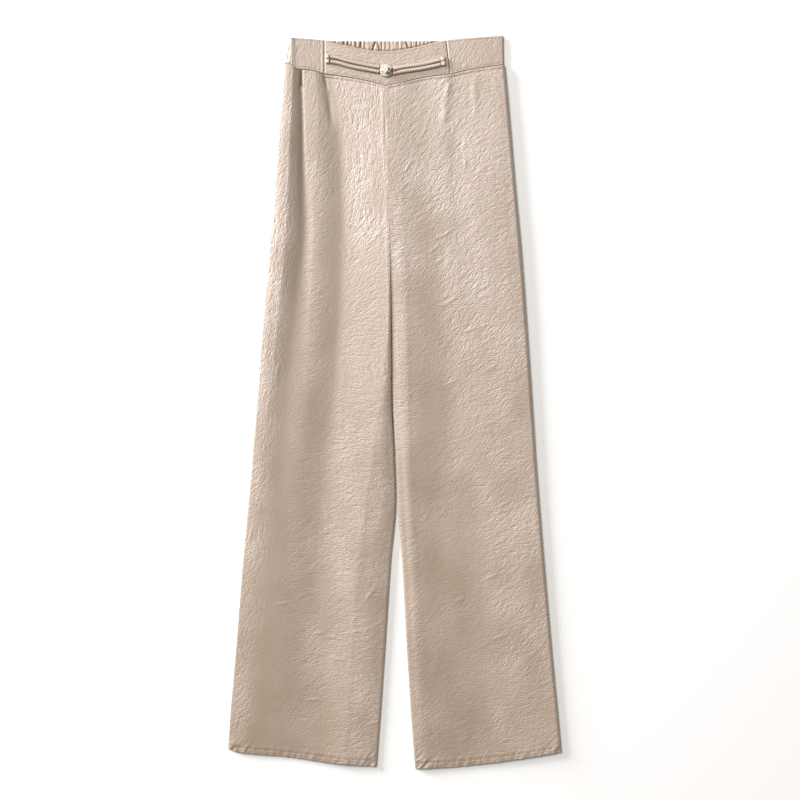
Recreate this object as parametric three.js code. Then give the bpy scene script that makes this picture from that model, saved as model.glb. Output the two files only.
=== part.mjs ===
// Straight trousers of crinkled satin with a gathered back waist, laid flat with the front side up.
//
// Lengths are millimetres. X runs to the viewer's right, Y from the hems up to the waist, and Z up
// from the surface that the trousers lie on. Left and right are the viewer's. The origin is on that
// surface, under the middle of the garment's outline.

import * as THREE from 'three';

// Thicknesses and clearances
const CLOTH = 1.3; // one layer of cloth
const BAND = 1.6; // the doubled cloth of the front waistband
const GAP = 0.3; // clear gap where two pieces meet
const WAIST_GAP = 0.6; // the same, at the curved seam under the front waistband
const BACK_TOP = CLOTH; // upper face of the back panels, which lie on the surface
const EDGE_TOP = BACK_TOP + GAP + CLOTH; // upper face of a front panel where it lies on the back

// Long edges of the four leg panels, a row for each height. The inner edges part at the crotch.
const OUTLINE = [
  { y: -510, outerLeft: -232.1, innerLeft: -25.8, innerRight: 29.2, outerRight: 232.2 },
  { y: -428, outerLeft: -227.2, innerLeft: -19.4, innerRight: 22.6, outerRight: 225.2 },
  { y: -345, outerLeft: -220.5, innerLeft: -13.5, innerRight: 17.1, outerRight: 217.8 },
  { y: -220, outerLeft: -210.8, innerLeft: -5.1, innerRight: 10.1, outerRight: 206.9 },
  { y: -140, outerLeft: -203.4, innerLeft: 1.8, innerRight: 4.0, outerRight: 200.3 },
  { y: -80, outerLeft: -198.4, innerLeft: 0.0, innerRight: 1.6, outerRight: 195.7 },
  { y: 3, outerLeft: -191.9, innerLeft: -4.0, innerRight: -3.2, outerRight: 190.1 },
  { y: 100, outerLeft: -185.0, innerLeft: -4.9, innerRight: -4.5, outerRight: 183.4 },
  { y: 211, outerLeft: -175.0, innerLeft: -6.85, innerRight: -6.55, outerRight: 175.1 },
  { y: 281, outerLeft: -168.2, innerLeft: -8.4, innerRight: -8.1, outerRight: 168.6 },
  { y: 343, outerLeft: -164.6, innerLeft: -11.2, innerRight: -10.9, outerRight: 163.0 },
  { y: 406, outerLeft: -159.0, innerLeft: -13.0, innerRight: -12.7, outerRight: 157.5 },
  { y: 470, outerLeft: -152.6, innerLeft: -13.25, innerRight: -12.95, outerRight: 151.4 },
];

// Hem edges, and the seam under the front waistband, which makes a shallow V at the middle
const HEM_LEFT = [
  { x: -231, y: -482.5 },
  { x: -216, y: -486.6 },
  { x: -144, y: -493.6 },
  { x: -83, y: -501.9 },
  { x: -26, y: -506.1 },
];
const HEM_RIGHT = [
  { x: 29, y: -509.3 },
  { x: 75, y: -507.5 },
  { x: 120, y: -503.3 },
  { x: 177, y: -495.0 },
  { x: 231, y: -485.8 },
];
const WAIST_SEAM = [
  { x: -152, y: 469.7 },
  { x: -145, y: 468.5 },
  { x: -136, y: 462.7 },
  { x: -114, y: 460.5 },
  { x: -98, y: 455.8 },
  { x: -80, y: 453.4 },
  { x: -13, y: 439.1 },
  { x: 40, y: 450.9 },
  { x: 77, y: 455.6 },
  { x: 107, y: 462.0 },
  { x: 151, y: 468.3 },
];
const HEM_Y = -500; // nominal heights of the first and last section of a panel
const WAIST_Y = 460;
const END_BEND = 160; // length over which the sections bend to follow the hem and the waist seam

// The large folds of the front panels. Each row is a line that runs down the leg: where it is and
// how high the cloth's upper face lies on it, at the heights in LEVELS.
const LEVELS = [-500, -345, -190, -80, 30, 140, 240, 350, 460];
const LEFT_FOLDS = [
  {
    line: 'crest along the outer edge',
    x: [-212, -201, -193, -184, -173, -163.5, -156.5, -149.5, -141],
    z: [4.0, 4.2, 4.4, 4.8, 5.2, 5.4, 5.6, 5.6, 5.2],
  },
  {
    line: 'floor of the outer pleat',
    x: [-187, -176, -166, -157, -148, -140, -136, -133, -130.5],
    z: [3.4, 3.7, 3.9, 3.7, 3.4, 3.1, 2.9, 2.9, 2.9],
  },
  {
    line: 'lip of the outer pleat',
    x: [-170, -160, -152, -146, -140, -134, -131, -128.5, -126.5],
    z: [3.4, 3.7, 3.9, 4.0, 4.2, 4.4, 4.6, 4.8, 4.8],
  },
  {
    line: 'ridge between the pleats',
    x: [-156, -148, -142, -136, -127.5, -119, -114, -112, -112],
    z: [3.3, 3.6, 3.9, 4.4, 5.0, 5.4, 5.6, 5.8, 5.6],
  },
  {
    line: 'floor of the inner pleat',
    x: [-140, -132, -120, -103, -90, -86, -83, -83, -95],
    z: [3.1, 3.2, 3.3, 3.3, 3.1, 3.0, 3.0, 3.0, 3.3],
  },
  {
    line: 'crest beside the inseam',
    x: [-67, -63.5, -59, -53, -34, -18, -14, -17, -24],
    z: [4.6, 5.2, 5.6, 6.0, 6.2, 6.4, 6.4, 6.4, 5.6],
  },
];
const RIGHT_FOLDS = [
  {
    line: 'crest beside the inseam',
    x: [44, 32, 22, 16, 14, 12, 8, 4, 0],
    z: [4.0, 4.4, 5.0, 5.8, 6.2, 6.3, 6.3, 6.3, 5.5],
  },
  {
    line: 'long hollow down the leg',
    x: [90, 80, 72, 64, 58, 52, 48, 45, 40],
    z: [3.2, 3.4, 3.6, 3.8, 4.2, 4.6, 5.2, 5.6, 4.9],
  },
  {
    line: 'crest of the inner pleat',
    x: [110, 100, 92, 84, 78, 74, 70, 68, 70],
    z: [3.3, 3.5, 3.7, 3.9, 4.4, 4.8, 5.6, 6.2, 5.7],
  },
  {
    line: 'dip between the pleats',
    x: [130, 120, 112, 104, 98, 93, 89, 86, 86],
    z: [3.4, 3.7, 3.9, 4.2, 4.7, 5.1, 5.5, 5.7, 5.1],
  },
  {
    line: 'crest of the outer pleat',
    x: [158, 148, 138, 132, 126, 120, 116, 112, 112],
    z: [3.7, 4.1, 4.4, 4.8, 5.2, 5.6, 6.1, 6.3, 5.8],
  },
  {
    line: 'shoulder along the outer edge',
    x: [205, 194, 182, 174, 167, 160, 155, 149, 143],
    z: [4.0, 4.4, 4.8, 5.2, 5.6, 5.9, 5.8, 5.6, 5.0],
  },
];
// Height of the inner edges at LEVELS: on the back below the crotch, joined above it
const INSEAM_Z = [EDGE_TOP, EDGE_TOP, EDGE_TOP, EDGE_TOP, 3.6, 5.0, 6.2, 6.3, 5.5];
const FRONT_ROWS = 36; // sections along a front panel
const FOLD_STEPS = 3; // steps from one fold line to the next
const BACK_ROWS = 18; // sections along a back panel
const BACK_STEPS = 4; // steps across a back panel

// Waistband
const BACK_BAND_LOW = 472; // lower edge of the back waistband
const BACK_BAND_TOP = [
  { x: -148, y: 500.0 },
  { x: -140, y: 504.6 },
  { x: -94, y: 502.8 },
  { x: -18, y: 502.1 },
  { x: 70, y: 502.5 },
  { x: 151, y: 508.6 },
];
const BACK_BAND_SIDES = { lowLeft: -151.6, topLeft: -146.6, right: 150.2 };
const GATHERS = 28; // gathers of the elastic across the back
const GATHER_STEPS = 5;
const GATHER_HEIGHT = 1.5; // how far a gather's crest stands over its foot
const BAND_FOOT = CLOTH + GATHER_HEIGHT + GAP; // lower face of the front waistband at its lowest
const BAND_TOP_EDGE = [
  { x: -145, y: 506.5 },
  { x: -98, y: 502.7 },
  { x: -94, y: 501.2 },
  { x: -67, y: 495.5 },
  { x: -31, y: 488.4 },
  { x: -13, y: 487.3 },
  { x: 20, y: 491.2 },
  { x: 45, y: 496.8 },
  { x: 70, y: 502.6 },
  { x: 151, y: 509.4 },
];
// Each front waistband piece: its sides at the lower seam and at the top edge, and the height of
// its upper face over BAND_FOOT + BAND at even steps across it
const BAND_PIECES = [
  {
    name: 'band_side_left',
    low: [-144.6, -98.0],
    top: [-144.6, -98.0],
    rise: [0.9, 0.1, 0.7, 0.9, 0.6, 0.4],
  },
  {
    name: 'band_centre',
    low: [-97.7, 77.0],
    top: [-97.7, 71.4],
    rise: [0.3, 0.5, 0.4, 0.3, 0.4, 0.4, 0.3],
  },
  {
    name: 'band_side_right',
    low: [77.3, 151.0],
    top: [71.7, 150.6],
    rise: [0.4, 0.6, 0.8, 0.7, 0.4, 0.1],
  },
];
const BAND_ROWS = 4;
const BAND_STEPS = 3; // steps across a band piece between two of its stated heights

// Frog fastening on the centre piece: two cords from each end tab to a ball knot
const CORD = { width: 5.2, height: 3.4, sides: 8, steps: 14 };
const CORD_SEAT = BAND_FOOT + BAND + 0.5 + GAP; // lowest point of the cords, tabs and knot
const CORD_ROUTES = {
  cord_left_upper: [[-89.6, 479.4], [-82.1, 478.6], [-66.6, 474.3], [-41.8, 468.8], [-20.4, 465.0]],
  cord_left_lower: [[-89.6, 473.2], [-79.0, 471.3], [-60.5, 466.2], [-38.6, 462.0], [-20.9, 458.7]],
  cord_right_upper: [[-1.7, 462.6], [12.9, 465.6], [26.1, 467.4], [39.3, 469.4], [62.8, 475.0]],
  cord_right_lower: [[-2.6, 456.0], [12.9, 459.5], [26.1, 461.4], [38.4, 463.3], [64.4, 468.8]],
};
const TAB = { width: 6, length: 12.6, height: 2 };
const TAB_PLACES = [
  { name: 'tab_left', x: -93.2, y: 476.2, turn: 0 },
  { name: 'tab_right', x: 67.6, y: 473.0, turn: 0.14 },
];
const KNOT = { x: -11.7, y: 460.1, radius: 8.9, height: 13, strands: 3, relief: 0.05 };

// A smooth curve through (xs[i], ys[i]) that never overshoots: a cubic between each two points,
// whose slope at a point is the harmonic mean of the slopes beside it, or level at a crest or foot
function smoothCurve(xs, ys) {
  const rises = xs.slice(1).map((x, i) => (ys[i + 1] - ys[i]) / (x - xs[i]));
  const slopes = ys.map((_, i) => {
    const before = rises[Math.max(i - 1, 0)];
    const after = rises[Math.min(i, rises.length - 1)];
    return before * after > 0 ? (2 * before * after) / (before + after) : 0;
  });
  return (at) => {
    let i = 0;
    while (i < xs.length - 2 && at > xs[i + 1]) i += 1;
    const span = xs[i + 1] - xs[i];
    const t = THREE.MathUtils.clamp((at - xs[i]) / span, 0, 1);
    const rest = 1 - t;
    return (
      ys[i] * rest * rest * (1 + 2 * t) +
      ys[i + 1] * t * t * (3 - 2 * t) +
      span * (slopes[i] * t * rest * rest - slopes[i + 1] * t * t * rest)
    );
  };
}

// The curve of one column of a table over another
function column(rows, over, key) {
  return smoothCurve(rows.map((row) => row[over]), rows.map((row) => row[key]));
}

// A closed wall under a grid of points on its upper face, given row by row from the lowest y and,
// in each row, from the lowest x. foot(z) is the height of the lower face under a point at z.
function wall(rows, foot) {
  const across = rows[0].length;
  const upper = rows.flat();
  const count = upper.length;
  const lower = upper.map(([x, y, z]) => [x, y, foot(z)]);
  const faces = [];
  const quad = (a, b, c, d) => faces.push(a, b, c, a, c, d);
  for (let r = 0; r + 1 < rows.length; r += 1) {
    for (let c = 0; c + 1 < across; c += 1) {
      const near = r * across + c;
      const far = near + across;
      quad(near, near + 1, far + 1, far);
      quad(count + near, count + far, count + far + 1, count + near + 1);
    }
  }
  const last = rows.length - 1;
  const rim = [];
  for (let c = 0; c < across - 1; c += 1) rim.push(c);
  for (let r = 0; r < last; r += 1) rim.push(r * across + across - 1);
  for (let c = across - 1; c > 0; c -= 1) rim.push(last * across + c);
  for (let r = last; r > 0; r -= 1) rim.push(r * across);
  rim.forEach((a, i) => {
    const b = rim[(i + 1) % rim.length];
    quad(a, count + a, count + b, b);
  });
  const geometry = new THREE.BufferGeometry();
  geometry.setAttribute('position', new THREE.Float32BufferAttribute([...upper, ...lower].flat(), 3));
  geometry.setIndex(faces);
  geometry.computeVertexNormals();
  return geometry;
}

// Even steps from 0 to 1
function steps(count) {
  return Array.from({ length: count + 1 }, (_, i) => i / count);
}

// One side's sections, from the hem to the waist seam. atHeight(y) gives a section's points as
// [x, z]; they are bent near the ends so that the first and last follow the two edges.
function panelRows(count, hem, topEdge, atHeight) {
  const hemCurve = column(hem, 'x', 'y');
  return steps(count).map((share) => {
    const y = THREE.MathUtils.lerp(HEM_Y, WAIST_Y, share);
    const nearHem = Math.max(0, 1 - (y - HEM_Y) / END_BEND);
    const nearWaist = Math.max(0, 1 - (WAIST_Y - y) / END_BEND);
    return atHeight(y).map(([x, z]) => [
      x,
      y + nearHem * (hemCurve(x) - HEM_Y) + nearWaist * (topEdge(x) - WAIST_Y),
      z,
    ]);
  });
}

// A front panel: its section at a height runs over the fold lines from one long edge to the other
function frontPanel(side, folds, hem) {
  const outer = column(OUTLINE, 'y', `outer${side}`);
  const inner = column(OUTLINE, 'y', `inner${side}`);
  const innerZ = smoothCurve(LEVELS, INSEAM_Z);
  const lines = folds.map(({ x, z }) => [smoothCurve(LEVELS, x), smoothCurve(LEVELS, z)]);
  const edges = [[outer, () => EDGE_TOP], ...(side === 'Left' ? lines : lines.slice().reverse())];
  edges.push([inner, innerZ]);
  if (side === 'Right') edges.reverse();
  const section = (y) => {
    const xs = edges.map(([x]) => x(y));
    const zs = edges.map(([, z]) => z(y));
    const height = smoothCurve(xs, zs);
    const points = [[xs[0], zs[0]]];
    for (let i = 1; i < xs.length; i += 1) {
      for (const t of steps(FOLD_STEPS).slice(1)) {
        const x = THREE.MathUtils.lerp(xs[i - 1], xs[i], t);
        points.push([x, height(x)]);
      }
    }
    return points;
  };
  const seam = column(WAIST_SEAM, 'x', 'y');
  return wall(panelRows(FRONT_ROWS, hem, (x) => seam(x) - WAIST_GAP, section), (z) => z - CLOTH);
}

// A back panel: flat on the surface, from the same long edges and hem, up to the back waistband
function backPanel(side, hem) {
  const outer = column(OUTLINE, 'y', `outer${side}`);
  const inner = column(OUTLINE, 'y', `inner${side}`);
  const section = (y) => {
    const ends = [outer(y), inner(y)].sort((a, b) => a - b);
    return steps(BACK_STEPS).map((t) => [THREE.MathUtils.lerp(...ends, t), BACK_TOP]);
  };
  return wall(panelRows(BACK_ROWS, hem, () => BACK_BAND_LOW - GAP, section), () => 0);
}

// The back waistband: flat below, gathered into uneven waves above
function backBand() {
  const top = column(BACK_BAND_TOP, 'x', 'y');
  const { lowLeft, topLeft, right } = BACK_BAND_SIDES;
  const rows = steps(BAND_ROWS - 1).map((up) =>
    steps(GATHERS * GATHER_STEPS).map((share) => {
      const x = THREE.MathUtils.lerp(THREE.MathUtils.lerp(lowLeft, topLeft, up), right, share);
      const y = THREE.MathUtils.lerp(BACK_BAND_LOW, top(x), up);
      const turns = GATHERS * share + 0.3 * Math.sin(17 * share) + 0.15 * Math.sin(43 * share);
      const wave = 0.5 - 0.5 * Math.cos(2 * Math.PI * turns);
      return [x, y, CLOTH + GATHER_HEIGHT * wave];
    }),
  );
  return wall(rows, () => 0);
}

// A piece of the front waistband, between the waist seam and the band's top edge
function frontBand({ low, top, rise }) {
  const seam = column(WAIST_SEAM, 'x', 'y');
  const edge = column(BAND_TOP_EDGE, 'x', 'y');
  const face = smoothCurve(rise.map((_, i) => i / (rise.length - 1)), rise);
  const rows = steps(BAND_ROWS).map((up) =>
    steps((rise.length - 1) * BAND_STEPS).map((share) => {
      const lowX = THREE.MathUtils.lerp(...low, share);
      const topX = THREE.MathUtils.lerp(...top, share);
      const x = THREE.MathUtils.lerp(lowX, topX, up);
      const y = THREE.MathUtils.lerp(seam(lowX), edge(topX), up);
      return [x, y, BAND_FOOT + BAND + face(share)];
    }),
  );
  return wall(rows, (z) => z - BAND);
}

// A cord of oval section along its route, lying on the centre band
function cord(route) {
  const height = CORD_SEAT + CORD.height / 2;
  const path = new THREE.CatmullRomCurve3(route.map(([x, y]) => new THREE.Vector3(x, y, height)));
  const oval = Array.from({ length: CORD.sides }, (_, i) => {
    const angle = ((i + 0.5) / CORD.sides) * 2 * Math.PI;
    return new THREE.Vector2(
      (CORD.height / 2) * Math.cos(angle),
      (CORD.width / 2) * Math.sin(angle),
    );
  });
  return new THREE.ExtrudeGeometry(new THREE.Shape(oval), {
    steps: CORD.steps,
    extrudePath: path,
  });
}

// The ball knot: a flattened ball whose crossing strands stand out a little
function knot() {
  const geometry = new THREE.SphereGeometry(1, 24, 16);
  const points = geometry.attributes.position;
  const point = new THREE.Vector3();
  for (let i = 0; i < points.count; i += 1) {
    point.fromBufferAttribute(points, i);
    const turn = KNOT.strands * Math.atan2(point.z, point.x);
    const lean = 4 * Math.asin(THREE.MathUtils.clamp(point.y, -1, 1));
    const weave = Math.sin(turn + lean) * Math.sin(turn - lean);
    const fade = 1 - point.y ** 8;
    point.multiplyScalar(1 - KNOT.relief + KNOT.relief * weave * fade);
    points.setXYZ(i, point.x, point.y, point.z);
  }
  geometry.rotateX(Math.PI / 2);
  geometry.scale(KNOT.radius, KNOT.radius, KNOT.height / 2);
  return geometry;
}

// Finishes
const satin = () => new THREE.MeshStandardMaterial({ color: 0xcbb6a3, roughness: 0.42, metalness: 0 });
const cordSatin = () => new THREE.MeshStandardMaterial({ color: 0xbfae98, roughness: 0.5, metalness: 0 });
const knotSatin = () => new THREE.MeshStandardMaterial({ color: 0xd6cbbb, roughness: 0.35, metalness: 0 });

const trousers = new THREE.Group();

function add(name, geometry, material) {
  const mesh = new THREE.Mesh(geometry, material);
  mesh.name = name;
  trousers.add(mesh);
  return mesh;
}

add('front_leg_left', frontPanel('Left', LEFT_FOLDS, HEM_LEFT), satin());
add('front_leg_right', frontPanel('Right', RIGHT_FOLDS, HEM_RIGHT), satin());
add('back_leg_left', backPanel('Left', HEM_LEFT), satin());
add('back_leg_right', backPanel('Right', HEM_RIGHT), satin());
add('band_back', backBand(), satin());
for (const piece of BAND_PIECES) add(piece.name, frontBand(piece), satin());
for (const [name, route] of Object.entries(CORD_ROUTES)) add(name, cord(route), cordSatin());
for (const { name, x, y, turn } of TAB_PLACES) {
  const tab = add(name, new THREE.BoxGeometry(TAB.width, TAB.length, TAB.height), cordSatin());
  tab.position.set(x, y, CORD_SEAT + TAB.height / 2);
  tab.rotation.z = turn;
}
const button = add('knot_button', knot(), knotSatin());
button.position.set(KNOT.x, KNOT.y, CORD_SEAT + KNOT.height / 2);

export default trousers;
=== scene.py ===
"""Straight trousers of crinkled satin with a gathered back waist, laid flat with the front up.

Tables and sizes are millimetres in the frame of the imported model: X to the viewer's right, Y from the
hems up to the waist, Z up from the surface. Left and right are the viewer's. Meshes are in metres.
"""

import logging
import math
from dataclasses import dataclass
from enum import Enum

import bpy
import numpy as np
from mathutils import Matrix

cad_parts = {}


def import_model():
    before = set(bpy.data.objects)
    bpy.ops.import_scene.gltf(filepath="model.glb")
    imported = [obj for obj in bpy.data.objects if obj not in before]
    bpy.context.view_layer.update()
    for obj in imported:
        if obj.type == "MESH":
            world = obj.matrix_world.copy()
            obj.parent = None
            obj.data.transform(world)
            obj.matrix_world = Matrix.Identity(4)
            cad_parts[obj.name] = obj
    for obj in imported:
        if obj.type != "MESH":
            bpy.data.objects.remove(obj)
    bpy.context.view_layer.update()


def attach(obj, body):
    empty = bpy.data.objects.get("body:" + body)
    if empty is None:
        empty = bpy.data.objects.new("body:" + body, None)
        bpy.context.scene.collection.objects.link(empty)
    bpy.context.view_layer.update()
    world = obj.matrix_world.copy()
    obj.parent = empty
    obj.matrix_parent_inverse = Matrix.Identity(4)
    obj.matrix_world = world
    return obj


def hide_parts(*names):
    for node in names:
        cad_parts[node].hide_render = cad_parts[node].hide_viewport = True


log = logging.getLogger("trousers")

MM = 0.001

# Layers, from the surface up
CLOTH = 1.3  # one layer of cloth
BAND = 1.6  # doubled cloth of the front waistband
BACK_TOP = CLOTH  # upper face of the back panels
FRONT_FOOT = 1.6  # lower face of a front panel where it lies on the back
RIM = 1.0  # height of a front panel's cut edge
BAND_FOOT = 3.1  # lower face of the front waistband
BAND_TOP = BAND_FOOT + BAND
CORD_SEAT = 5.5  # what lies on the front waistband starts here
THINNEST = 0.7  # least thickness of a front panel under its crinkle
SLACK = 0.35  # room that a front panel's lower face leaves for the crinkle

# Thread of the stitches
THREAD_WIDTH = 0.64
THREAD_RISE = 0.3

SHARP_DEGREES = 60  # faces that meet at more than this have a sharp edge between them
LATTICE = 256  # squares of the random relief before it repeats
STREAK_STEPS = 9  # places on the line over which a streak is averaged
STREAK_GAIN = 2.5  # brings the averaged streaks back to about -1 to 1

# Outline: long edges of the leg panels at heights y
EDGE_Y = (-510, -428, -345, -220, -140, -80, 3, 100, 211, 281, 343, 406, 470)
OUTER_LEFT = (
    -232.1, -227.2, -220.5, -210.8, -203.4, -198.4, -191.9, -185.0, -175.0, -168.2, -164.6, -159.0, -152.6,
)
INNER_LEFT = (-25.8, -19.4, -13.5, -5.1, 1.8, 0.0, -4.0, -4.9, -6.85, -8.4, -11.2, -13.0, -13.25)
INNER_RIGHT = (29.2, 22.6, 17.1, 10.1, 4.0, 1.6, -3.2, -4.5, -6.6, -8.38, -11.18, -12.98, -13.23)
OUTER_RIGHT = (232.2, 225.2, 217.8, 206.9, 200.3, 195.7, 190.1, 183.4, 175.1, 168.6, 163.0, 157.5, 151.4)

# Edges that run across, as points (x, y)
HEM_LEFT = ((-231, -482.5), (-216, -486.6), (-144, -493.6), (-83, -501.9), (-26, -506.1))
HEM_RIGHT = ((29, -509.3), (75, -507.5), (120, -503.3), (177, -495.0), (231, -485.8))
WAIST_SEAM = (
    (-152, 469.7), (-145, 468.5), (-136, 462.7), (-114, 460.5), (-98, 455.8), (-80, 453.4), (-55, 449.6),
    (-36, 445.7), (-19, 441.3), (-12, 439.5), (-5, 440.8), (13, 444.6), (40, 450.9), (77, 455.6),
    (107, 462.0), (151, 468.3),
)
BAND_TOP_EDGE = (
    (-145, 506.5), (-98, 502.7), (-94, 501.2), (-67, 495.5), (-31, 488.4), (-13, 487.3),
    (20, 491.2), (45, 496.8), (70, 502.6), (151, 509.4),
)
BACK_BAND_EDGE = ((-148, 500.0), (-140, 504.6), (-94, 502.8), (-18, 502.1), (70, 502.5), (151, 508.6))

# Ends of the panels
HEM_Y = -500  # lowest row of a panel before it bends to the hem
WAIST_Y = 460  # highest row before it bends to the waist
END_BEND = 160  # length over which the rows bend to follow the hem and the waist seam
WAIST_GAP = 0.6  # between the front panels and the waistband
BACK_GAP = 0.3  # between the back panels and the back band
BACK_BAND_LOW = 472  # lower edge of the back band
EDGE_CROWD = 0.28  # how much closer the columns stand near the long edges

# Heights y of the columns in the fold tables
LEVELS = (-500, -345, -190, -80, 30, 140, 240, 350, 460)


class Side(Enum):
    """Which leg, as the viewer sees it."""

    LEFT = "left"
    RIGHT = "right"


# Curves and random relief


def smooth_rows(xs: np.ndarray, ys: np.ndarray, at: np.ndarray) -> np.ndarray:
    """Smooth curves that never overshoot, one for each row.

    Between two points a cubic runs whose slope at a point is the harmonic mean of the slopes beside
    it, or level at a crest or foot.

    Args:
        xs: Places of the points, rows by points, rising along each row.
        ys: Heights of the points, of the same shape.
        at: Places to read, rows by any number.

    Returns:
        The heights at those places.
    """
    rises = np.diff(ys, axis=1) / np.diff(xs, axis=1)
    before = np.concatenate([rises[:, :1], rises], axis=1)
    after = np.concatenate([rises, rises[:, -1:]], axis=1)
    same = before * after > 0
    slopes = np.where(same, 2 * before * after / np.where(same, before + after, 1.0), 0.0)
    cell = (at[:, :, None] > xs[:, None, 1:-1]).sum(axis=2)
    x0, x1 = (np.take_along_axis(xs, cell + k, axis=1) for k in (0, 1))
    y0, y1 = (np.take_along_axis(ys, cell + k, axis=1) for k in (0, 1))
    m0, m1 = (np.take_along_axis(slopes, cell + k, axis=1) for k in (0, 1))
    span = x1 - x0
    t = np.clip((at - x0) / span, 0, 1)
    rest = 1 - t
    ends = y0 * rest**2 * (1 + 2 * t) + y1 * t**2 * (3 - 2 * t)
    return ends + span * (m0 * t * rest**2 - m1 * t**2 * rest)


def smooth_curve(xs: tuple, ys: tuple, at: np.ndarray) -> np.ndarray:
    """One smooth curve through (xs, ys), read at the given places.

    Args:
        xs: Places of the points, rising.
        ys: Heights of the points.
        at: Places to read, an array of any shape.

    Returns:
        The heights, in the shape of at.
    """
    flat = np.asarray(at, float).reshape(1, -1)
    found = smooth_rows(np.array([xs], float), np.array([ys], float), flat)
    return found.reshape(np.shape(at))


def edge_curve(points: tuple, at: np.ndarray) -> np.ndarray:
    """Height y of an edge that runs across, given as points (x, y), at the places x."""
    return smooth_curve(tuple(p[0] for p in points), tuple(p[1] for p in points), at)


def bell(gap: np.ndarray, width: float | np.ndarray) -> np.ndarray:
    """Bell curve that is 1 at no gap and 1/e at the width."""
    return np.exp(-((gap / width) ** 2))


def ramp(gap: np.ndarray, reach: float | np.ndarray) -> np.ndarray:
    """Rises evenly from 0 at no gap to 1 at the reach."""
    return np.clip(gap / reach, 0, 1)


def quarter_round(gap: np.ndarray, reach: float) -> np.ndarray:
    """Rises from 0 at no gap to 1 at the reach, as a quarter circle."""
    return np.sqrt(1 - (1 - ramp(gap, reach)) ** 2)


def ridges(gap: np.ndarray, rows: tuple) -> np.ndarray:
    """Sum of bell curves at stated gaps, from rows of place, height and width."""
    return sum(height * bell(gap - place, width) for place, height, width in rows)


def soft_noise(x: np.ndarray, y: np.ndarray, cell: float, seed: int) -> np.ndarray:
    """Soft random relief from -1 to 1.

    Each corner of a square lattice has a random height, and a smooth step blends the four corners.

    Args:
        x: Places across.
        y: Places along.
        cell: Side of a lattice square.
        seed: Seed of the random heights.

    Returns:
        The relief, in the shape of x.
    """
    table = np.random.default_rng(seed).uniform(-1, 1, (LATTICE, LATTICE)).astype(np.float32)
    gx, gy = x / cell, y / cell
    ix, iy = np.floor(gx).astype(int), np.floor(gy).astype(int)
    fx, fy = gx - ix, gy - iy
    sx, sy = fx * fx * (3 - 2 * fx), fy * fy * (3 - 2 * fy)
    ix, iy = ix % LATTICE, iy % LATTICE
    jx, jy = (ix + 1) % LATTICE, (iy + 1) % LATTICE
    low = table[ix, iy] * (1 - sx) + table[jx, iy] * sx
    high = table[ix, jy] * (1 - sx) + table[jx, jy] * sx
    return low * (1 - sy) + high * sy


def streaks(
    x: np.ndarray, y: np.ndarray, lean: np.ndarray, cell: float, reach: float, seed: int
) -> np.ndarray:
    """Random streaks that follow a direction.

    Soft noise is averaged over places on a short line in the direction of lean, so it stays rough
    across that line and becomes long along it.

    Args:
        x: Places across.
        y: Places along.
        lean: Direction of the streaks in degrees, counter-clockwise from X.
        cell: Width of the noise.
        reach: Half the length of the line.
        seed: Seed of the noise.

    Returns:
        Relief of about -1 to 1, in the shape of x.
    """
    angle = np.radians(lean)
    ahead, side = np.cos(angle), np.sin(angle)
    steps = np.linspace(-reach, reach, STREAK_STEPS)
    total = sum(soft_noise(x + d * ahead, y + d * side, cell, seed) for d in steps)
    return STREAK_GAIN / STREAK_STEPS * total


@dataclass(frozen=True)
class Grain:
    """Fine streaks along a direction that wanders from place to place.

    turn is how many degrees the direction wanders, over turn_cell. cell is the streaks' width, and
    reach half their length.
    """

    turn: float
    turn_cell: float
    cell: float
    reach: float

    def run(
        self, x: np.ndarray, y: np.ndarray, lean: np.ndarray | float, seed: int
    ) -> tuple[np.ndarray, np.ndarray]:
        """The wandering direction and the streaks along it.

        Args:
            x: Places across.
            y: Places along.
            lean: The direction without its wandering, in degrees.
            seed: Seed of the wandering. The streaks take the next one.

        Returns:
            The direction in degrees and the streaks from -1 to 1.
        """
        wander = lean + self.turn * soft_noise(x, y, self.turn_cell, seed)
        return wander, streaks(x, y, wander, self.cell, self.reach, seed + 1)


@dataclass(frozen=True)
class Crease:
    """A listed crease: a soft ridge, or a trough where height is below zero.

    It runs from (x0, y0) to (x1, y1), and its middle bows sideways by bend. ends is the power by
    which it fades to its ends.
    """

    x0: float
    y0: float
    x1: float
    y1: float
    width: float
    height: float
    bend: float = 0.0
    ends: float = 1.6

    def relief(self, x: np.ndarray, y: np.ndarray) -> np.ndarray:
        """Height of the crease at each point.

        Across its line it is a bell curve, and along it the height fades from the middle to both
        ends.

        Args:
            x: Places across.
            y: Places along.

        Returns:
            The heights, in the shape of x.
        """
        dx, dy = self.x1 - self.x0, self.y1 - self.y0
        length = math.hypot(dx, dy)
        ux, uy = dx / length, dy / length
        px, py = x - (self.x0 + self.x1) / 2, y - (self.y0 + self.y1) / 2
        along = 2 * (px * ux + py * uy) / length
        fade = np.clip(1 - along**2, 0, 1)
        across = py * ux - px * uy - self.bend * fade
        return self.height * fade**self.ends * bell(across, self.width)


def creases(rows: tuple) -> tuple[Crease, ...]:
    """Creases from the rows of a table."""
    return tuple(Crease(*row) for row in rows)


# Meshes


def cells(numbers: np.ndarray) -> np.ndarray:
    """Corners of the cells of a grid of point numbers, cells by 4."""
    corners = [numbers[:-1, :-1], numbers[:-1, 1:], numbers[1:, 1:], numbers[1:, :-1]]
    return np.stack(corners, axis=-1).reshape(-1, 4)


def grid_quads(rows: int, cols: int, first: int) -> np.ndarray:
    """Corners of a grid's cells, counter-clockwise from above, for points numbered from first."""
    return cells(first + np.arange(rows * cols).reshape(rows, cols))


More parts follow.
